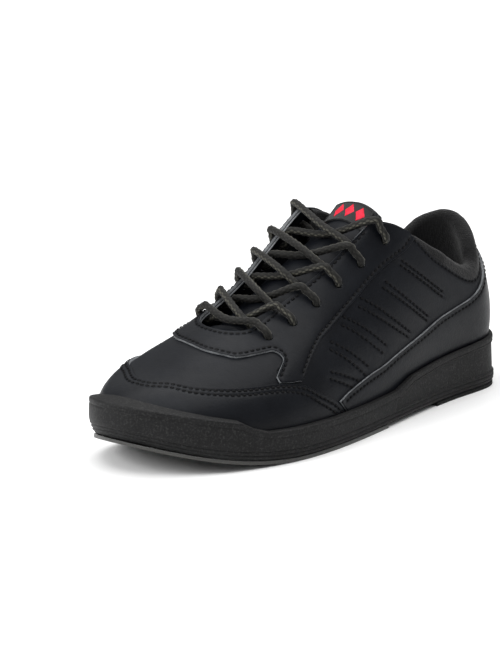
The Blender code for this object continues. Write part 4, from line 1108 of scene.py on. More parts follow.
def fine_facets(outline, holes=(), rows=()):
    """Fine triangles inside an outline, denser at its edges and along its stitch rows."""
    loops = [resampled(outline, FACET_STEP, True)] + [resampled(h, FACET_STEP, True) for h in holes]
    flat = [flat_of(loop) for loop in loops]
    row_flat = [flat_of(resampled(r, 1.5 * MM)) for r in rows]

    def allowed(x, y, margin, row_margin=0.0):
        good = inside_polygon(x, y, flat[0]) & (edge_distance(x, y, flat[0]) > margin)
        for hole in flat[1:]:
            good &= ~inside_polygon(x, y, hole) & (edge_distance(x, y, hole) > margin)
        if row_margin:
            for r in row_flat:
                good &= line_distance(x, y, r) > row_margin
        return good

    spots, flats = list(loops), list(flat)
    for index, (loop, ring_flat) in enumerate(zip(loops, flat)):
        after = np.roll(ring_flat, -1, 0)
        area = 0.5 * np.sum(ring_flat[:, 0] * after[:, 1] - after[:, 0] * ring_flat[:, 1])
        turn = (1.0 if area > 0 else -1.0) * (1.0 if index == 0 else -1.0)
        side = sideways(ring_flat, True) * turn
        for depth in EDGE_RINGS:
            u, t = to_spots(loop[:, 0], loop[:, 1], side[:, 0] * depth, side[:, 1] * depth)
            t = np.minimum(t, 1.0)
            x, y = ring_flat[:, 0] + side[:, 0] * depth, ring_flat[:, 1] + side[:, 1] * depth
            keep = allowed(x, y, depth * 0.9)
            spots.append(np.stack([u, t], -1)[keep])
            flats.append(np.stack([x, y], -1)[keep])
    for row in rows:
        line = resampled(row, 1.5 * MM)
        line_flat = flat_of(line)
        side = sideways(line_flat)
        for depth in GROOVE_RINGS:
            u, t = to_spots(line[:, 0], line[:, 1], side[:, 0] * depth, side[:, 1] * depth)
            x, y = line_flat[:, 0] + side[:, 0] * depth, line_flat[:, 1] + side[:, 1] * depth
            keep = allowed(x, y, 1.2 * MM)
            spots.append(np.stack([u, t], -1)[keep])
            flats.append(np.stack([x, y], -1)[keep])
    grid_u, grid_t = np.meshgrid(np.concatenate([GRID_U, GRID_U - STATIONS]), GRID_T[1:], indexing="ij")
    grid_u, grid_t = grid_u.ravel(), grid_t.ravel()
    keep = ~((grid_t > 0.999) & (grid_u % STATIONS > 8.0) & (folded(grid_u) >= RIDGE_START))
    low = loops[0][:, 0].min()
    keep &= (grid_u >= min(low, 0.0)) & (grid_u < min(low, 0.0) + STATIONS)
    grid_u, grid_t = grid_u[keep], grid_t[keep]
    gx, gy = chart(grid_u, grid_t)
    wanted = allowed(gx, gy, 1.6 * MM, 1.6 * MM)
    spots.append(np.stack([grid_u[wanted], grid_t[wanted]], -1))
    flats.append(np.stack([gx[wanted], gy[wanted]], -1))
    where, points = np.vstack(spots), np.vstack(flats)
    edges, start = [], 0
    for loop in loops:
        count = len(loop)
        edges += [(start + i, start + (i + 1) % count) for i in range(count)]
        start += count
    done = delaunay_2d_cdt([Vector(p) for p in points], edges, [], 0, 1e-7)
    found = np.array([tuple(v) for v in done[0]])
    triangles = np.array([tuple(f) for f in done[2]])
    chosen = where[np.array([o[0] for o in done[3]])]
    middle = found[triangles].mean(1)
    solid = inside_polygon(middle[:, 0], middle[:, 1], flat[0])
    for hole in flat[1:]:
        solid &= ~inside_polygon(middle[:, 0], middle[:, 1], hole)
    triangles = triangles[solid]
    used, renumbered = np.unique(triangles, return_inverse=True)
    found, chosen = found[used], chosen[used]
    to_edge = np.full(len(found), 1e9)
    for ring_flat in flat:
        to_edge = np.minimum(to_edge, edge_distance(found[:, 0], found[:, 1], ring_flat))
    to_row = np.full(len(found), 1e9)
    for r in row_flat:
        to_row = np.minimum(to_row, line_distance(found[:, 0], found[:, 1], r))
    return chosen, renumbered.reshape(-1, 3), to_edge, to_row


def leather_piece(name, outline, low, high, looks, node, holes=(), rows=(), puff=0.25 * MM):
    """Cut leather: rounded along its edges, drawn in along its stitches, softly uneven."""
    spots, faces, to_edge, to_row = fine_facets(outline, holes, rows)
    base = surface(spots[:, 0], spots[:, 1])
    out = normal(spots[:, 0], spots[:, 1])
    share = np.clip(to_edge / CORNER, 0.0, 1.0)
    rise = high - CORNER * (1.0 - np.sqrt(1.0 - (1.0 - share) ** 2)) * 0.9
    for depth, width in STITCH_DRAWS:
        rise = rise - depth * np.exp(-(to_row / width) ** 2) * smooth(to_edge / (1.0 * MM))
    rise = rise + puff * ripple(base, 21.0 * MM) * smooth(to_edge / (8.0 * MM)) * 0.6
    vertices, closed = thicken(base + out * rise[:, None], base + out * low, faces)
    marks = np.zeros(len(closed), int)
    # the sides take the cut-edge material, whose pale grey is partly a painted highlight
    marks[2 * len(faces):] = 1
    return add_piece(name, vertices, closed, looks, "shoe", [node], marks)


# ---------------------------------------------------------------------------
# Stitches
# ---------------------------------------------------------------------------
STITCH_RINGS = [(-0.50, 0.35, -0.30), (-0.40, 0.85, -0.02), (-0.15, 1.0, 0.16), (0.15, 1.0, 0.16),
                (0.40, 0.85, -0.02), (0.50, 0.35, -0.30)]
STITCH_SIDES = 6


def stitch_shape(length, width, height):
    """Points (along, across, out) and faces of one stitch."""
    points = []
    for along, size, lift in STITCH_RINGS:
        for k in range(STITCH_SIDES):
            angle = 2 * math.pi * k / STITCH_SIDES
            points.append((along * length, math.cos(angle) * width / 2 * size,
                           lift * MM + math.sin(angle) * height / 2 * size))
    return np.array(points), tube_faces(len(STITCH_RINGS), STITCH_SIDES)


def seam(paths, pitch=3.5 * MM, length=2.4 * MM, width=1.2 * MM, height=0.55 * MM):
    """Stitches along 3-D paths, each given as (points, outward normals)."""
    shape, shape_faces = stitch_shape(length, width, height)
    vertices, faces = [], []
    for points, outs in paths:
        walked = np.concatenate([[0.0], np.cumsum(np.linalg.norm(np.diff(points, axis=0), axis=1))])
        count = max(1, int(walked[-1] / pitch))
        for k in range(count):
            centre_at = (k + 0.5) * walked[-1] / count
            marks = centre_at + length / 2 * np.array([-1, 0, 1])
            a, c, b = np.stack([np.interp(marks, walked, points[:, j]) for j in range(3)], -1)
            out = np.array([np.interp(centre_at, walked, outs[:, j]) for j in range(3)])
            tangent = b - a
            tangent = tangent / max(np.linalg.norm(tangent), 1e-9)
            out = out - tangent * (out @ tangent)
            out = out / max(np.linalg.norm(out), 1e-9)
            across = np.cross(out, tangent)
            start = len(vertices) * len(shape)
            vertices.append(c + shape[:, :1] * tangent + shape[:, 1:2] * across + shape[:, 2:] * out)
            faces += [tuple(i + start for i in f) for f in shape_faces]
    return np.vstack(vertices), faces


def on_upper(row, height):
    """3-D path of a stitch row on the upper."""
    row = resampled(row, 1.0 * MM)
    u, t = row[:, 0], np.minimum(row[:, 1], 1.0)
    out = normal(u, t)
    return surface(u, t) + out * height, out


def sew(name, rows, height, look="thread", body="shoe", slot="overlay_leather", **size):
    vertices, faces = seam([on_upper(r, height) for r in rows], **size)
    return add_piece(name, vertices, faces, [look], body)


# ---------------------------------------------------------------------------
# Upper
# ---------------------------------------------------------------------------
GAP_U = 0.010
RIDGE_GAP = 0.006
BARS = [
    ((4.47, 0.27), (3.94, 0.14)), ((4.36, 0.41), (3.81, 0.20)), ((4.09, 0.49), (3.45, 0.27)),
    ((3.76, 0.54), (2.98, 0.32)), ((3.31, 0.61), (2.64, 0.42)), ((2.98, 0.75), (2.38, 0.63)),
]
BAR_HALF = 1.6 * MM


def bar_rows():
    """Two stitch rows for each slanting bar on the quarter."""
    rows = []
    for first, last in BARS:
        line = [np.array(first) + (np.array(last) - np.array(first)) * k / 12 for k in range(13)]
        rows += [beside(line, BAR_HALF), beside(line, -BAR_HALF)]
    return rows


def mirror_line(line):
    """The same line on the other side of the shoe."""
    return [(STATIONS - u, t) for u, t in line]


def trimmed(line, first, last):
    """Part of a line between two shares of its points."""
    line = np.asarray(line)
    return line[int(len(line) * first):max(int(len(line) * last), 2)]


def make_vamp():
    """Lowest leather, from the toe back to under the saddle."""
    rear = vamp_rear()
    outline = rear[::-1] + level(5.12, STATIONS - 5.12, 0.0)[1:-1] + mirror_line(rear[:-1])
    leather_piece("vamp_leather", outline, -LEATHER, 0.0, ["leather", "edge"], "vamp",
                  puff=0.3 * MM)


def make_quarters():
    """Two side leathers with lace holes, stitched bars on the outer one, and a row along the top."""
    rear = vamp_rear()
    throat = style(THROAT)
    behind = [(u - GAP_U, min(t, 1.0 - RIDGE_GAP)) for u, t in rear]
    throat_low = [(u, min(t, 1.0 - RIDGE_GAP)) for u, t in throat]
    quarter = level(0.012, behind[0][0], 0.0)[:-1] + behind + throat_low[::-1]
    quarter += top_edge(3.1, 0.012) + upright(0.012, float(band_share(0.0)), 0.0)[1:-1]
    bars = bar_rows()
    collar_row = [(u, float(band_share(u)) - 0.022) for u in np.linspace(2.72, 0.05, 90)]
    heel_seam = [(STATIONS - u, 0.70 + 0.02 * math.sin(u)) for u in np.linspace(0.06, 1.45, 40)]
    leather_piece("quarter_outer_leather", quarter, -LEATHER, 0.0, ["leather", "edge"],
                  "quarter_outer", eyelet_holes(False), bars + [collar_row], puff=0.35 * MM)
    leather_piece("quarter_inner_leather", mirror_line(quarter), -LEATHER, 0.0, ["leather", "edge"],
                  "quarter_inner", eyelet_holes(True), [mirror_line(collar_row), heel_seam],
                  puff=0.35 * MM)
    sew("bar_stitching_outer", bars, 0.0, slot="leather")
    sew("collar_stitching", [collar_row, mirror_line(collar_row), heel_seam], 0.0, slot="leather")


def make_toe_cap():
    """Overlay round the toe with a double row of stitches."""
    cap = style(CAP_LINE)
    outline = cap[::-1] + level(4.25, STATIONS - 4.25, 0.0) + mirror_line(cap[:-1])
    cap_whole = cap + mirror_line(cap[:-1])[::-1]
    cap_rows = [trimmed(edge_row(cap_whole, d, outline), 0.03, 0.97) for d in (1.9 * MM, 4.9 * MM)]
    leather_piece("toe_cap_leather", outline, 0.05 * MM, OVERLAY_HIGH, ["overlay", "edge"],
                  "toe_cap", rows=cap_rows, puff=0.3 * MM)
    sew("cap_stitching", cap_rows, OVERLAY_HIGH)


def make_saddle():
    """Overlay over the instep, with the throat cut out and lace holes on both sides of it."""
    front = style(SADDLE_FRONT)
    back = style(SADDLE_REAR)
    throat = style(THROAT)
    above_cap = [(5.07, 0.345), (5.22, 0.375)]
    corner = [(2.78, float(band_share(2.78)) - 0.005), (3.0, 0.985)]
    half = corner[::-1] + back[::-1] + above_cap + front
    inner = mirror_line(half[:-1])[::-1]
    throat_top = [(u, min(t, 0.985)) for u, t in throat[:-1]]
    outline = half + inner + mirror_line(throat_top) + [throat[-1]] + throat_top[::-1]
    holes = eyelet_holes(False) + eyelet_holes(True)
    front_whole = front + mirror_line(front[:-1])[::-1]
    saddle_rows = [trimmed(edge_row(front_whole, 2.3 * MM, outline), 0.02, 0.98)]
    saddle_rows += [trimmed(edge_row(r, 2.3 * MM, outline), 0.03, 0.99) for r in (back, mirror_line(back))]
    throat_whole = throat_top + [throat[-1]] + mirror_line(throat_top)[::-1]
    saddle_rows += [trimmed(edge_row(throat_whole, 2.2 * MM, outline), 0.03, 0.97)]
    leather_piece("saddle_leather", outline, 0.05 * MM, OVERLAY_HIGH, ["overlay", "edge"],
                  "saddle_eyestay", holes, saddle_rows, puff=0.25 * MM)
    sew("saddle_stitching", saddle_rows, OVERLAY_HIGH)


def make_foxing():
    """Heel overlays of both sides."""
    foxing = style(FOXING_OUTER + [(0.012, 0.78)])
    outline = level(0.012, 4.17, 0.0) + [(4.21, 0.03)] + foxing + upright(0.012, 0.78, 0.0)[1:-1]
    row_outer = trimmed(edge_row(foxing, 2.4 * MM, outline), 0.03, 0.99)
    leather_piece("heel_foxing_outer_leather", outline, 0.05 * MM, OVERLAY_HIGH, ["overlay", "edge"],
                  "heel_foxing_outer", rows=[row_outer])
    foxing = style([(3.35, 0.0)] + FOXING_INNER + [(0.012, 0.62)])
    outline = mirror_line(level(0.012, 3.35, 0.0)[:-1] + foxing + upright(0.012, 0.62, 0.0)[1:-1])
    row_inner = trimmed(edge_row(mirror_line(foxing), 2.4 * MM, outline), 0.03, 0.97)
    leather_piece("heel_foxing_inner_leather", outline, 0.05 * MM, OVERLAY_HIGH, ["overlay", "edge"],
                  "heel_foxing_inner", rows=[row_inner])
    sew("foxing_stitching", [row_outer, row_inner], OVERLAY_HIGH)


def make_collar_panel():
    """Small overlay below the collar on the inner side."""
    panel = style(COLLAR_PANEL)
    last = float(band_share(1.40)) - 0.01
    top = [(u, float(band_share(u)) - 0.01) for u in stations_between(1.40, 2.62)]
    front_edge = [(2.82, 0.84), (3.02, 0.73), (3.20, 0.675), (3.42, 0.615)]
    outline = mirror_line(panel + [(1.38, last)] + top[1:] + front_edge)
    panel_rows = [trimmed(edge_row(mirror_line(panel), d, outline), 0.04, 0.96) for d in (2.2 * MM, 4.6 * MM)]
    leather_piece("collar_panel_leather", outline, 0.05 * MM, OVERLAY_HIGH, ["overlay", "edge"],
                  "collar_panel_inner", rows=panel_rows)
    sew("panel_stitching", panel_rows, OVERLAY_HIGH)


def make_upper():
    make_vamp()
    make_quarters()
    make_toe_cap()
    make_saddle()
    make_foxing()
    make_collar_panel()


# ---------------------------------------------------------------------------
# Sole
# ---------------------------------------------------------------------------
WALL_GROOVES = [(2.6 * MM, 0.55 * MM), (4.9 * MM, 0.45 * MM)]
RIM_ROLL = 1.15 * MM
RIM_HEIGHT = 1.3 * MM
PANEL_TOP_U = 3.33
PANEL_LOW_U = 3.45
PANEL_DEPTH = 0.9 * MM
RIB_PITCH = 5.0 * MM
RIB_SWING = 4.0 * MM
CUP_FLOOR = 2.6 * MM
CUP_INNER = OVERLAY_HIGH + 0.15 * MM


def toe_undercut(u):
    """How far the sole's lower edge draws in round the toe."""
    return 2.6 * MM * smooth((folded(u) - 5.8) / 1.8)


def wall_inset(u, share, height, tall):
    """How far the sole's wall stands in from its edge, at a share of its height."""
    low = 1.3 * MM * (1.0 - smooth(share / 0.12)) ** 2
    lean = 0.7 * MM * share
    near_top = np.clip((height - tall) / RIM_HEIGHT + 1.0, 0, 1)
    top = RIM_ROLL * (1.0 - np.sqrt(1.0 - near_top ** 2))
    inset = low + lean + top + toe_undercut(u) * (1.0 - smooth(share / 0.55)) ** 1.5
    for at, depth in WALL_GROOVES:
        inset = inset + depth * np.exp(-((height - at) / (0.42 * MM)) ** 2)
    rim = tall - 3.6 * MM
    rim_groove = 0.35 * MM * smooth((tall - 12.0 * MM) / (4.0 * MM))
    inset = inset + rim_groove * np.exp(-((height - rim) / (0.5 * MM)) ** 2)
    edge_u = PANEL_TOP_U * share + PANEL_LOW_U * (1.0 - share)
    inside = smooth((edge_u - folded(u)) / 0.02 + 0.5)
    band = smooth((height - 6.2 * MM) / (0.7 * MM)) * smooth((tall - 4.2 * MM - height) / (0.8 * MM))
    return inset + PANEL_DEPTH * inside * band


def make_sole():
    """Rubber cup with a grooved edge, a rolled rim and a set-in heel panel."""
    fine = np.arange(0.0, STATIONS, 1 / 40)
    near = np.concatenate([np.linspace(c - 0.14, c + 0.14, 15) for c in (PANEL_TOP_U, PANEL_LOW_U - 0.05)])
    u = np.unique(np.round(np.concatenate([fine, near, STATIONS - near]), 5))
    x = edge_x(u)
    tall = wall_height(x) - TREAD_THICKNESS - CLEARANCE - spring(x)
    base = TREAD_THICKNESS + CLEARANCE + spring(x)
    steps = np.concatenate([np.linspace(0, 6.4, 27)[:-1], np.linspace(6.4, 9.0, 7)]) * MM
    rest = np.concatenate([np.linspace(0.02, 0.6, 10), np.linspace(0.64, 1.0, 22)])
    rings = []
    for k in range(len(steps) + len(rest)):
        if k < len(steps):
            height = np.minimum(np.full_like(tall, steps[k]), tall * 0.62 * (k + 1) / len(steps))
        else:
            start = np.minimum(steps[-1], tall * 0.62)
            height = start + (tall - start) * rest[k - len(steps)]
        px, py = inset_edge(u, wall_inset(u, height / tall, height, tall))
        rings.append(np.column_stack([px, py, base + height]))
    share = share_at_height(u, wall_height(x))
    rings += [offset(u, share * (1 - k), np.full(len(u), CUP_INNER)) for k in (0.0, 0.15, 0.5, 0.8, 1.0)]
    floor = rings[-1].copy()
    floor[:, 2] = TREAD_THICKNESS + CLEARANCE + CUP_FLOOR + spring(floor[:, 0])
    rings.append(floor)
    under = []
    for inset in (1.3 * MM + 3.0 * MM, 1.3 * MM + 0.9 * MM):
        px, py = inset_edge(u, inset + toe_undercut(u))
        under.append(np.column_stack([px, py, TREAD_THICKNESS + CLEARANCE + spring(px)]))
    rings = under + rings
    count = len(u)
    faces = []
    for k in range(len(rings) - 1):
        for i in range(count):
            j = (i + 1) % count
            faces.append((k * count + i, k * count + j, (k + 1) * count + j, (k + 1) * count + i))
    half = count // 2
    for k, turn in ((0, 1), (len(rings) - 1, -1)):
        for i in range(half):
            quad = [k * count + v for v in (i, i + 1, (count - i - 1) % count, (count - i) % count)]
            quad = list(dict.fromkeys(quad))
            if len(quad) > 2:
                faces.append(tuple(quad[::turn]))
    add_piece("cup_sole", np.vstack(rings), faces, ["rubber"], "shoe", ["cupsole"], sharp=50)


def plate_points(stations, inset, columns):
    """Cross strips of a plate with the sole's outline: plan points, row by row."""
    rows = []
    for s in stations:
        drawn = inset + float(toe_undercut(s))
        a = np.array(inset_edge(s, drawn))
        b = np.array(inset_edge(STATIONS - s, drawn))
        rows.append([a + (b - a) * k / columns for k in range(columns + 1)])
    return np.array(rows).reshape(-1, 2)


def strip_faces(rows, columns):
    faces = []
    for i in range(rows - 1):
        for k in range(columns):
            a = i * (columns + 1) + k
            faces.append((a, a + 1, a + columns + 2, a + columns + 1))
    return faces


def make_treads():
    """Slide pad, and heel pad with moulded ribs."""
    edge = 0.8 * MM
    start = station_at(FOREPART_START, edge)
    stations = np.concatenate([np.linspace(start, 7.9, 150), [7.925, 7.94]])
    points = plate_points(stations, edge, 24)
    low, high = spring(points[:, 0]), spring(points[:, 0]) + TREAD_THICKNESS
    vertices, closed = thicken(np.column_stack([points, high]), np.column_stack([points, low]),
                               strip_faces(len(stations), 24))
    add_piece("slide_pad", vertices, closed, ["slide"], "shoe", ["slide_sole_pad"])
    end = station_at(HEEL_TREAD_LENGTH, edge)
    stations = np.concatenate([[0.06, 0.07], np.linspace(0.09, end, 150)])
    points = plate_points(stations, edge, 60)
    wave = RIB_SWING * np.abs(np.sin(points[:, 1] / (9.0 * MM)))
    ribs = 0.5 + 0.5 * np.cos(2 * math.pi * (points[:, 0] + wave) / RIB_PITCH)
    a = np.array([inset_edge(s, edge) for s in stations])
    b = np.array([inset_edge(STATIONS - s, edge) for s in stations])
    share = np.linspace(0, 1, 61)
    reach = np.tile(np.minimum(share, 1 - share), len(stations))
    width = np.repeat(np.linalg.norm(a - b, axis=1), 61)
    margin = smooth((reach * width - 4.0 * MM) / (1.5 * MM))
    margin = margin * smooth((HEEL_TREAD_LENGTH - 4.0 * MM - points[:, 0]) / (1.5 * MM))
    margin = margin * smooth((points[:, 0] - 5 * MM) / (2 * MM))
    low = 0.9 * MM * margin * smooth((ribs - 0.35) / 0.3)
    high = np.full(len(points), TREAD_THICKNESS)
    vertices, closed = thicken(np.column_stack([points, high]), np.column_stack([points, low]),
                               strip_faces(len(stations), 60))
    add_piece("heel_pad", vertices, closed, ["tread"], "shoe", ["heel_tread"])


def make_footbed():
    """Loose footbed, its cloth turned up a little at the edges."""
    inset = UPPER_INSET - LINING_LOW + CLEARANCE + SOCK_SIDE_GAP
    stations = np.concatenate([np.linspace(0.15, 1.0, 30), np.linspace(1.03, 7.0, 110),
                               np.linspace(7.03, 7.85, 26)])
    points = plate_points(stations, inset, 28)
    under = bed_height(points[:, 0]) + BOARD_THICKNESS + CLEARANCE
    reach = np.tile(np.abs(np.linspace(-1, 1, 29)), len(stations))
    cup = 1.6 * MM * smooth((reach - 0.55) / 0.45) * smooth(4.5 - 10.0 * points[:, 0] / SOLE_LENGTH)
    rounded = 0.9 * MM * smooth((reach - 0.93) / 0.07)
    top = under + SOCK_THICKNESS - 0.8 * MM + cup - rounded
    vertices, closed = thicken(np.column_stack([points, top]), np.column_stack([points, under]),
                               strip_faces(len(stations), 28))
    add_piece("footbed", vertices, closed, ["sock"], "sock_liner", ["sock_liner"])


# ---------------------------------------------------------------------------
# Collar and tongue
# ---------------------------------------------------------------------------
def make_collar():
    """Knitted cloth over foam, rolled over the top line and down inside."""
    stations = np.linspace(-COLLAR_END, COLLAR_END, 331)
    outer, inner = [], []
    for u in stations:
        length = float(rib_length(u))
        face, low = collar_path(u, 0.0, 12)
        back, back_low = collar_path(u, LINING, 12)
        start = min(float(band_share(u)) - 0.6 * BUTT_GAP / length, face[0][0] - 0.012)
        dense = [(start, face[0][1])] + face[:13]
        dense_back = [(start, back[0][1])] + back[:13]
        inside = open_curve([face[12]] + face[13:] + [(0.2, low), (0.02, low)], 5)
        inside_back = open_curve([back[12]] + back[13:] + [(0.2, back_low), (0.02, back_low)], 5)
        outer.append(place(u, dense + [tuple(p) for p in inside[1:]]))
        inner.append(place(u, dense_back + [tuple(p) for p in inside_back[1:]]))
    size = len(outer[0])
    outer, inner = np.vstack(outer), np.vstack(inner)
    faces = strip_faces(len(stations), size - 1)
    out = vertex_normals(outer, faces)
    lumps = 0.35 * MM * ripple(outer, 6.5 * MM) + 0.12 * MM * ripple(outer, 1.7 * MM, 3.0)
    inward = np.sum((inner - outer) * out, axis=1)
    sign = -np.sign(np.median(inward))
    rows = np.arange(len(outer)) % size
    fade = smooth((rows - 1) / 2.0) * smooth((size - 3 - rows) / 4.0)
    outer = outer + out * (sign * lumps * fade)[:, None]
    vertices, closed = thicken(outer, inner, faces)
    collar = add_piece("padded_collar", vertices, closed, ["knit"], "shoe",
                       ["collar_lining", "collar_foam"])


def vertex_normals(points, faces):
    points = np.asarray(points)
    quads = np.asarray(faces)
    a, b, c = points[quads[:, 0]], points[quads[:, 1]], points[quads[:, 2]]
    n = np.cross(b - a, c - a)
    total = np.zeros_like(points)
    for k in range(quads.shape[1]):
        np.add.at(total, quads[:, k], n)
    return total / np.maximum(np.linalg.norm(total, axis=1, keepdims=True), 1e-12)


TONGUE_ROWS = 120
TONGUE_COLUMNS = 56
TONGUE_DEPTH = LEATHER + LAYER_GAP + TONGUE_FOAM + LAYER_GAP + LINING
TONGUE_SEAM_V = 0.86
TONGUE_SEAM_S = 0.94
TONGUE_SWELL = 4.5 * MM


def tongue_points(s, v, side):
    """Padded tongue: side 1 is its face and -1 its back."""
    base, out = tongue_surface(s, v), tongue_normal(s, v)
    swell = smooth((base[..., 0] - 194 * MM) / (9 * MM)) * (1 - smooth((base[..., 0] - 211 * MM) / (6 * MM)))
    base = base + out * (TONGUE_SWELL * swell * (1 - np.asarray(v) ** 4))[..., None]
    edge = np.clip((np.abs(v) - 0.90) / 0.10, 0, 1)
    free = np.clip((s - 0.965) / 0.035, 0, 1)
    round_off = 1.0 - np.sqrt(np.clip(1.0 - np.maximum(edge, free) ** 2, 0, 1))
    padded = smooth((s - 0.13) / 0.12)
    depth = LEATHER + (TONGUE_DEPTH - LEATHER) * padded
    face = depth / 2 * (side * (1.0 - 0.9 * round_off) - 1.0)
    seam_line = np.minimum(np.abs(np.abs(v) - TONGUE_SEAM_V) * 0.2 * BALL_WIDTH,
                           np.abs(s - TONGUE_SEAM_S) * 130 * MM)
    draw = 0.45 * MM * np.exp(-(seam_line / (0.8 * MM)) ** 2) * padded
    soft = 0.30 * MM * ripple(base, 9.0 * MM, 1.0) * padded
    return base + out * (face + side * (soft * (1 - round_off) - draw))[..., None]


def make_tongue():
    """Padded tongue with a sewn border; the woven patch near its free end is made in make_patch."""
    s = np.concatenate([np.linspace(0, 0.93, TONGUE_ROWS - 24), np.linspace(0.94, 1.0, 24)])
    v = np.concatenate([np.linspace(-1, -0.82, 12), np.linspace(-0.79, 0.79, TONGUE_COLUMNS - 24),
                        np.linspace(0.82, 1, 12)])
    grid_s, grid_v = np.meshgrid(s, v, indexing="ij")
    grid_s, grid_v = grid_s.ravel(), grid_v.ravel()
    top = tongue_points(grid_s, grid_v, 1.0)
    back = tongue_points(grid_s, grid_v, -1.0)
    faces = strip_faces(len(s), len(v) - 1)
    vertices, closed = thicken(top, back, faces)
    marks = np.zeros(len(closed), int)
    marks[len(faces):2 * len(faces)] = 1
    tongue = add_piece("padded_tongue", vertices, closed, ["leather", "lining"], "tongue",
                       ["tongue_shell", "tongue_foam", "tongue_lining"], marks, sharp=60)
    rise = np.linspace(0.18, TONGUE_SEAM_S, 160)
    path_s = np.concatenate([rise, np.full(60, TONGUE_SEAM_S), rise[::-1]])
    path_v = np.concatenate([np.full(160, -TONGUE_SEAM_V), np.linspace(-TONGUE_SEAM_V, TONGUE_SEAM_V, 60),
                             np.full(160, TONGUE_SEAM_V)])
    out = tongue_normal(path_s, path_v)
    vertices, faces = seam([(tongue_points(path_s, path_v, 1.0) + out * 0.1 * MM, out)])
    add_piece("tongue_stitching", vertices, faces, ["thread"], "tongue")


PATCH_S = (0.80, 0.97)
PATCH_V = 0.74


def on_patch(a, b):
    """Point of the patch: a and b run -1 to 1 along its height and width."""
    s = (PATCH_S[0] + PATCH_S[1]) / 2 + (PATCH_S[1] - PATCH_S[0]) / 2 * a
    v = PATCH_V * b
    return tongue_surface(s, v), tongue_normal(s, v)


def make_patch():
    """Woven patch with an overlocked border and three plain embroidered diamonds."""
    a, b = np.meshgrid(np.linspace(-1, 1, 34), np.linspace(-1, 1, 72), indexing="ij")
    a, b = a.ravel(), b.ravel()
    base, out = on_patch(a, b)
    near = np.maximum(np.abs(a), np.abs(b))
    rise = 0.95 * MM - 0.5 * MM * smooth((near - 0.94) / 0.06)
    vertices, closed = thicken(base + out * rise[:, None], base + out * 0.3 * MM, strip_faces(34, 71))
    add_piece("tongue_patch", vertices, closed, ["patch"], "tongue", ["tongue_label"])
    corners = [(-0.95, -0.97), (-0.95, 0.97), (0.95, 0.97), (0.95, -0.97), (-0.95, -0.97)]
    edge = np.vstack([np.linspace(corners[i], corners[i + 1], 60)[:-1] for i in range(4)] + [[corners[-1]]])
    base, out = on_patch(edge[:, 0], edge[:, 1])
    vertices, faces = seam([(base + out * 0.95 * MM, out)], 0.75 * MM, 1.5 * MM, 0.55 * MM, 0.5 * MM)
    add_piece("patch_border", vertices, faces, ["tape"], "tongue")
    paths = []
    for centre in (-0.52, 0.0, 0.52):
        for k in np.linspace(-1, 1, 19):
            half = 0.20 * (1 - abs(k)) + 0.015
            line_b = np.linspace(centre - half, centre + half, 8)
            base, out = on_patch(np.full(8, 0.62 * k), line_b)
            paths.append((base + out * 1.15 * MM, out))
    vertices, faces = embroidery(paths)
    add_piece("patch_embroidery", vertices, faces, ["red"], "tongue")


def embroidery(paths, width=0.85 * MM, height=0.5 * MM):
    """Satin stitches: one low tube for each path."""
    vertices, faces = [], []
    for points, outs in paths:
        count = len(points)
        start = len(vertices)
        d = np.gradient(points, axis=0)
        d = d / np.maximum(np.linalg.norm(d, axis=1, keepdims=True), 1e-12)
        across = np.cross(outs, d)
        swell = np.sqrt(np.clip(1 - np.linspace(-1, 1, count) ** 4, 0.05, 1))
        for i in range(count):
            for k in range(STITCH_SIDES):
                angle = 2 * math.pi * k / STITCH_SIDES
                lift = math.sin(angle) * height / 2 * swell[i] - 0.35 * MM * (1 - swell[i])
                vertices.append(points[i] + across[i] * math.cos(angle) * width / 2 + outs[i] * lift)
        faces += tube_faces(count, STITCH_SIDES, start)
    return np.array(vertices), faces


MOTIF_U, MOTIF_T = STATIONS - 1.18, 0.36
MOTIF_PITCH = 8.4 * MM
MOTIF_HALF_WIDTH = 2.7 * MM
MOTIF_HALF_HEIGHT = 4.2 * MM


def make_heel_motif():
    """The same three plain diamonds sewn on the inner heel."""
    paths = []
    for middle in (-MOTIF_PITCH, 0.0, MOTIF_PITCH):
        for level_at in np.linspace(-1, 1, 15):
            half = MOTIF_HALF_WIDTH * (1 - abs(level_at)) + 0.2 * MM
            u, t = heel_spot(MOTIF_U, MOTIF_T, np.linspace(middle - half, middle + half, 8),
                             np.full(8, level_at * MOTIF_HALF_HEIGHT))
            out = normal(u, t)
            paths.append((surface(u, t) + out * (OVERLAY_HIGH + 0.12 * MM), out))
    vertices, faces = embroidery(paths, 0.75 * MM, 0.45 * MM)
    add_piece("heel_embroidery", vertices, faces, ["red"], "shoe")


def heel_spot(u, t, along, up):
    """(u, t) a small way along and up the upper from a point."""
    d = 0.001
    au = (surface(u + d, t) - surface(u - d, t)) / (2 * d)
    at = (surface(u, t + d) - surface(u, t - d)) / (2 * d)
    return u + along / np.linalg.norm(au), t + up / np.linalg.norm(at)


# ---------------------------------------------------------------------------
# Lace
# ---------------------------------------------------------------------------
BRAID_PITCH = 9.6 * MM
BRAID_STRANDS = 6
BRAID_SIDES = 24
BRAID_STEP = 0.45 * MM
BRAID_RELIEF = 0.42 * MM
LACED_DIAMETER = 1.08 * LACE_DIAMETER
TIP_SIDES = 20
TIP_CRIMPS = (0.14, 0.28)
CRIMP_DEPTH = 0.22 * MM


def along_curve(points, step):
    """The curve with points at even steps, and its length."""
    points = np.asarray(points)
    walked = np.concatenate([[0.0], np.cumsum(np.linalg.norm(np.diff(points, axis=0), axis=1))])
    count = max(4, int(walked[-1] / step))
    at = np.linspace(0, walked[-1], count + 1)
    return np.stack([np.interp(at, walked, points[:, k]) for k in range(3)], -1), at


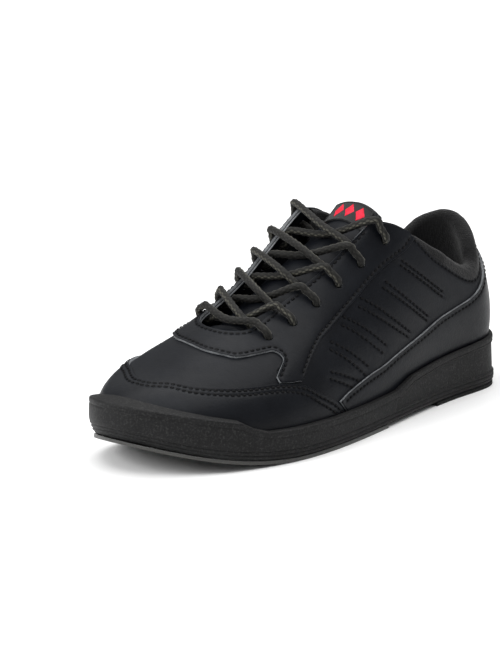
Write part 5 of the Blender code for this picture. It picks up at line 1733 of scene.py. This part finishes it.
def turned_frames(points):
    """Tangents and two side vectors that don't twist along a curve."""
    tangent = np.gradient(points, axis=0)
    tangent /= np.linalg.norm(tangent, axis=1, keepdims=True)
    side = np.zeros_like(points)
    start = np.cross(tangent[0], [0.0, 0.0, 1.0])
    side[0] = start / np.linalg.norm(start)
    for i in range(1, len(points)):
        s = side[i - 1] - tangent[i] * (side[i - 1] @ tangent[i])
        side[i] = s / np.linalg.norm(s)
    return tangent, side, np.cross(tangent, side)


def braid(name, route, diameter):
    """Round braid along a route: its strands stand out as diamonds."""
    points, at = along_curve(route, BRAID_STEP)
    for _ in range(6):
        points[1:-1] = points[1:-1] * 0.5 + (points[:-2] + points[2:]) * 0.25
    _, e1, e2 = turned_frames(points)
    turn = np.linspace(0, 2 * math.pi, BRAID_SIDES, endpoint=False)[None, :]
    run = (at / BRAID_PITCH * 2 * math.pi)[:, None]
    plait = np.abs(np.sin(turn * BRAID_STRANDS / 2 + run)) * np.abs(np.sin(turn * BRAID_STRANDS / 2 - run))
    plait = plait ** 0.7
    radius = diameter / 2 - BRAID_RELIEF * (1.0 - plait)
    vertices = tube_points(points, e1, e2, turn, radius)
    apart = np.minimum(np.abs(np.sin(turn / 2 - 0.9)), np.abs(np.sin(turn / 2 - 0.9 - math.pi / 2)))
    tracer = np.broadcast_to(np.exp(-(apart / 0.16) ** 2), plait.shape)
    # the plait values also set the painted shade in the braid's valleys, in the lace's colour
    made = add_piece(name, vertices, tube_faces(len(points), BRAID_SIDES), ["lace"], "shoe",
                     values={"plait": plait.ravel(), "tracer": tracer.ravel()}, sharp=80)
    return made, points


def lathe_tip(name, route, node):
    """Crimped tip on the end of the lace."""
    points, at = along_curve(open_curve(np.array(route) * MM, 8), 0.4 * MM)
    _, e1, e2 = turned_frames(points)
    angle = np.linspace(0, 2 * math.pi, TIP_SIDES, endpoint=False)[None, :]
    share = (at / at[-1])[:, None]
    ends = np.minimum(share, 1 - share)
    radius = AGLET_DIAMETER / 2 * (0.86 + 0.14 * smooth(ends / 0.06))
    for crimp in TIP_CRIMPS:
        radius = radius - CRIMP_DEPTH * np.exp(-((share - crimp) / 0.03) ** 2)
    radius = radius * (1 + 0.03 * np.cos(angle * 4)) / 1.03
    vertices = tube_points(points, e1, e2, angle, radius)
    faces = tube_faces(len(points), TIP_SIDES)
    return add_piece(name, vertices, faces, ["aglet"], "shoe", [node])


def make_lace():
    """Laced stretch as one braid, and its two free ends with their tips."""
    first, second = lace_route(True), lace_route(False)
    held = open_curve(np.array(first[::-1] + second[1:]), 8)
    lace, _ = braid("laced_braid", held, LACED_DIAMETER)
    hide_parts("lace")
    for side, end, tip in (("outer", LACE_END_OUTER, AGLET_OUTER), ("inner", LACE_END_INNER, AGLET_INNER)):
        aglet = lathe_tip("lace_tip_" + side, tip, "aglet_" + side)
        free, points = braid("free_braid_" + side, open_curve(np.array(end) * MM, 8), LACE_DIAMETER)
        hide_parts("lace_end_" + side)
        path = points - SHIFT
        path[::6].tolist() + [path[-1].tolist()]


# ---------------------------------------------------------------------------
# Hidden pieces, setting and camera
# ---------------------------------------------------------------------------
def finish_hidden():
    """Materials of the solids that stay and are covered by the upper."""
    hidden = {
        "midsole_filler": "foam", "shank": "steel", "insole_board": "board", "toe_puff": "board",
        "heel_counter": "board", "vamp_lining": "lining",
    }
    for node, look in hidden.items():
        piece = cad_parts[node]
        piece.data.materials.clear()
        piece.data.materials.append(LOOKS[look])


CAMERA_AZIMUTH = 131.9
CAMERA_HEIGHT = 14.6
CAMERA_DISTANCE = 2.605
CAMERA_LENS = 247.5
CAMERA_ROLL = -0.70
CAMERA_AIM_RIGHT = -0.0298
CAMERA_AIM_UP = 0.0097
MIDDLE_HEIGHT = 0.045


def make_camera():
    """Long lens, from the toe end of the outer side, with the shoe low and left of the frame's middle."""
    a, e = math.radians(CAMERA_AZIMUTH), math.radians(CAMERA_HEIGHT)
    back = Vector((math.sin(a) * math.cos(e), -math.cos(a) * math.cos(e), math.sin(e)))
    target = Vector((0.15 - SHIFT[0], -SHIFT[1], MIDDLE_HEIGHT))
    right = Vector((0.0, 0.0, 1.0)).cross(back).normalized()
    up = back.cross(right)
    eye = target + back * CAMERA_DISTANCE
    aim = target + right * CAMERA_AIM_RIGHT + up * CAMERA_AIM_UP
    data = bpy.data.cameras.new("camera")
    data.lens = CAMERA_LENS
    data.sensor_width = 36.0
    data.clip_start, data.clip_end = 0.05, 50.0
    camera = bpy.data.objects.new("camera", data)
    bpy.context.scene.collection.objects.link(camera)
    camera.location = eye
    look = (aim - eye).to_track_quat("-Z", "Y")
    camera.rotation_mode = "QUATERNION"
    camera.rotation_quaternion = look @ Quaternion((0.0, 0.0, 1.0), math.radians(CAMERA_ROLL))
    bpy.context.scene.camera = camera


def area_light(name, place_at, aim, size, power, colour=(1.0, 1.0, 1.0)):
    data = bpy.data.lights.new(name, "AREA")
    data.shape = "RECTANGLE"
    data.size, data.size_y = size
    data.energy = power
    data.color = colour
    made = bpy.data.objects.new(name, data)
    bpy.context.scene.collection.objects.link(made)
    made.location = place_at
    made.rotation_mode = "QUATERNION"
    made.rotation_quaternion = (Vector(aim) - Vector(place_at)).to_track_quat("-Z", "Y")


def make_setting():
    """Pale floor, a sky that is lighter overhead, and two soft lamps."""
    look = Look("pale_floor", Specular_IOR_Level=0.2)
    patches = look.noise(2.0, 2.0)
    look.set("Base Color", look.mix(look.span(patches, 0.3, 0.7), (0.86, 0.86, 0.86), (0.88, 0.88, 0.88)))
    look.set("Roughness", look.span(patches, 0.3, 0.7, 0.85, 0.9))
    mesh = bpy.data.meshes.new("floor")
    edge = 4.0
    corners = [(-edge, -edge, 0), (edge, -edge, 0), (edge, edge, 0), (-edge, edge, 0)]
    mesh.from_pydata(corners, [], [(0, 1, 2, 3)])
    mesh.materials.append(look.material)
    floor = bpy.data.objects.new("floor", mesh)
    bpy.context.scene.collection.objects.link(floor)
    world = bpy.data.worlds.new("studio")
    world.use_nodes = True
    sky = world.node_tree.nodes
    around = sky.new("ShaderNodeTexCoord")
    height = sky.new("ShaderNodeSeparateXYZ")
    ramp = sky.new("ShaderNodeValToRGB")
    for element, (position, grey) in zip(ramp.color_ramp.elements, ((0.02, 0.11), (0.55, 0.62))):
        element.position = position
        element.color = (grey, grey, grey, 1.0)
    world.node_tree.links.new(around.outputs["Generated"], height.inputs[0])
    world.node_tree.links.new(height.outputs[2], ramp.inputs[0])
    world.node_tree.links.new(ramp.outputs[0], sky["Background"].inputs[0])
    bpy.context.scene.world = world
    bpy.context.scene.view_settings.view_transform = "Standard"
    area_light("overhead", (-0.3, 0.15, 2.0), (-0.3, 0.15, 0), (3.4, 2.8), 66.0)
    area_light("toe_side", (1.5, -0.7, 1.0), (0.05, 0, 0.04), (0.8, 0.8), 24.0)


make_camera()
make_lace()
make_upper()
make_sole()
make_treads()
make_footbed()
make_collar()
make_tongue()
make_patch()
make_heel_motif()
finish_hidden()
make_setting()
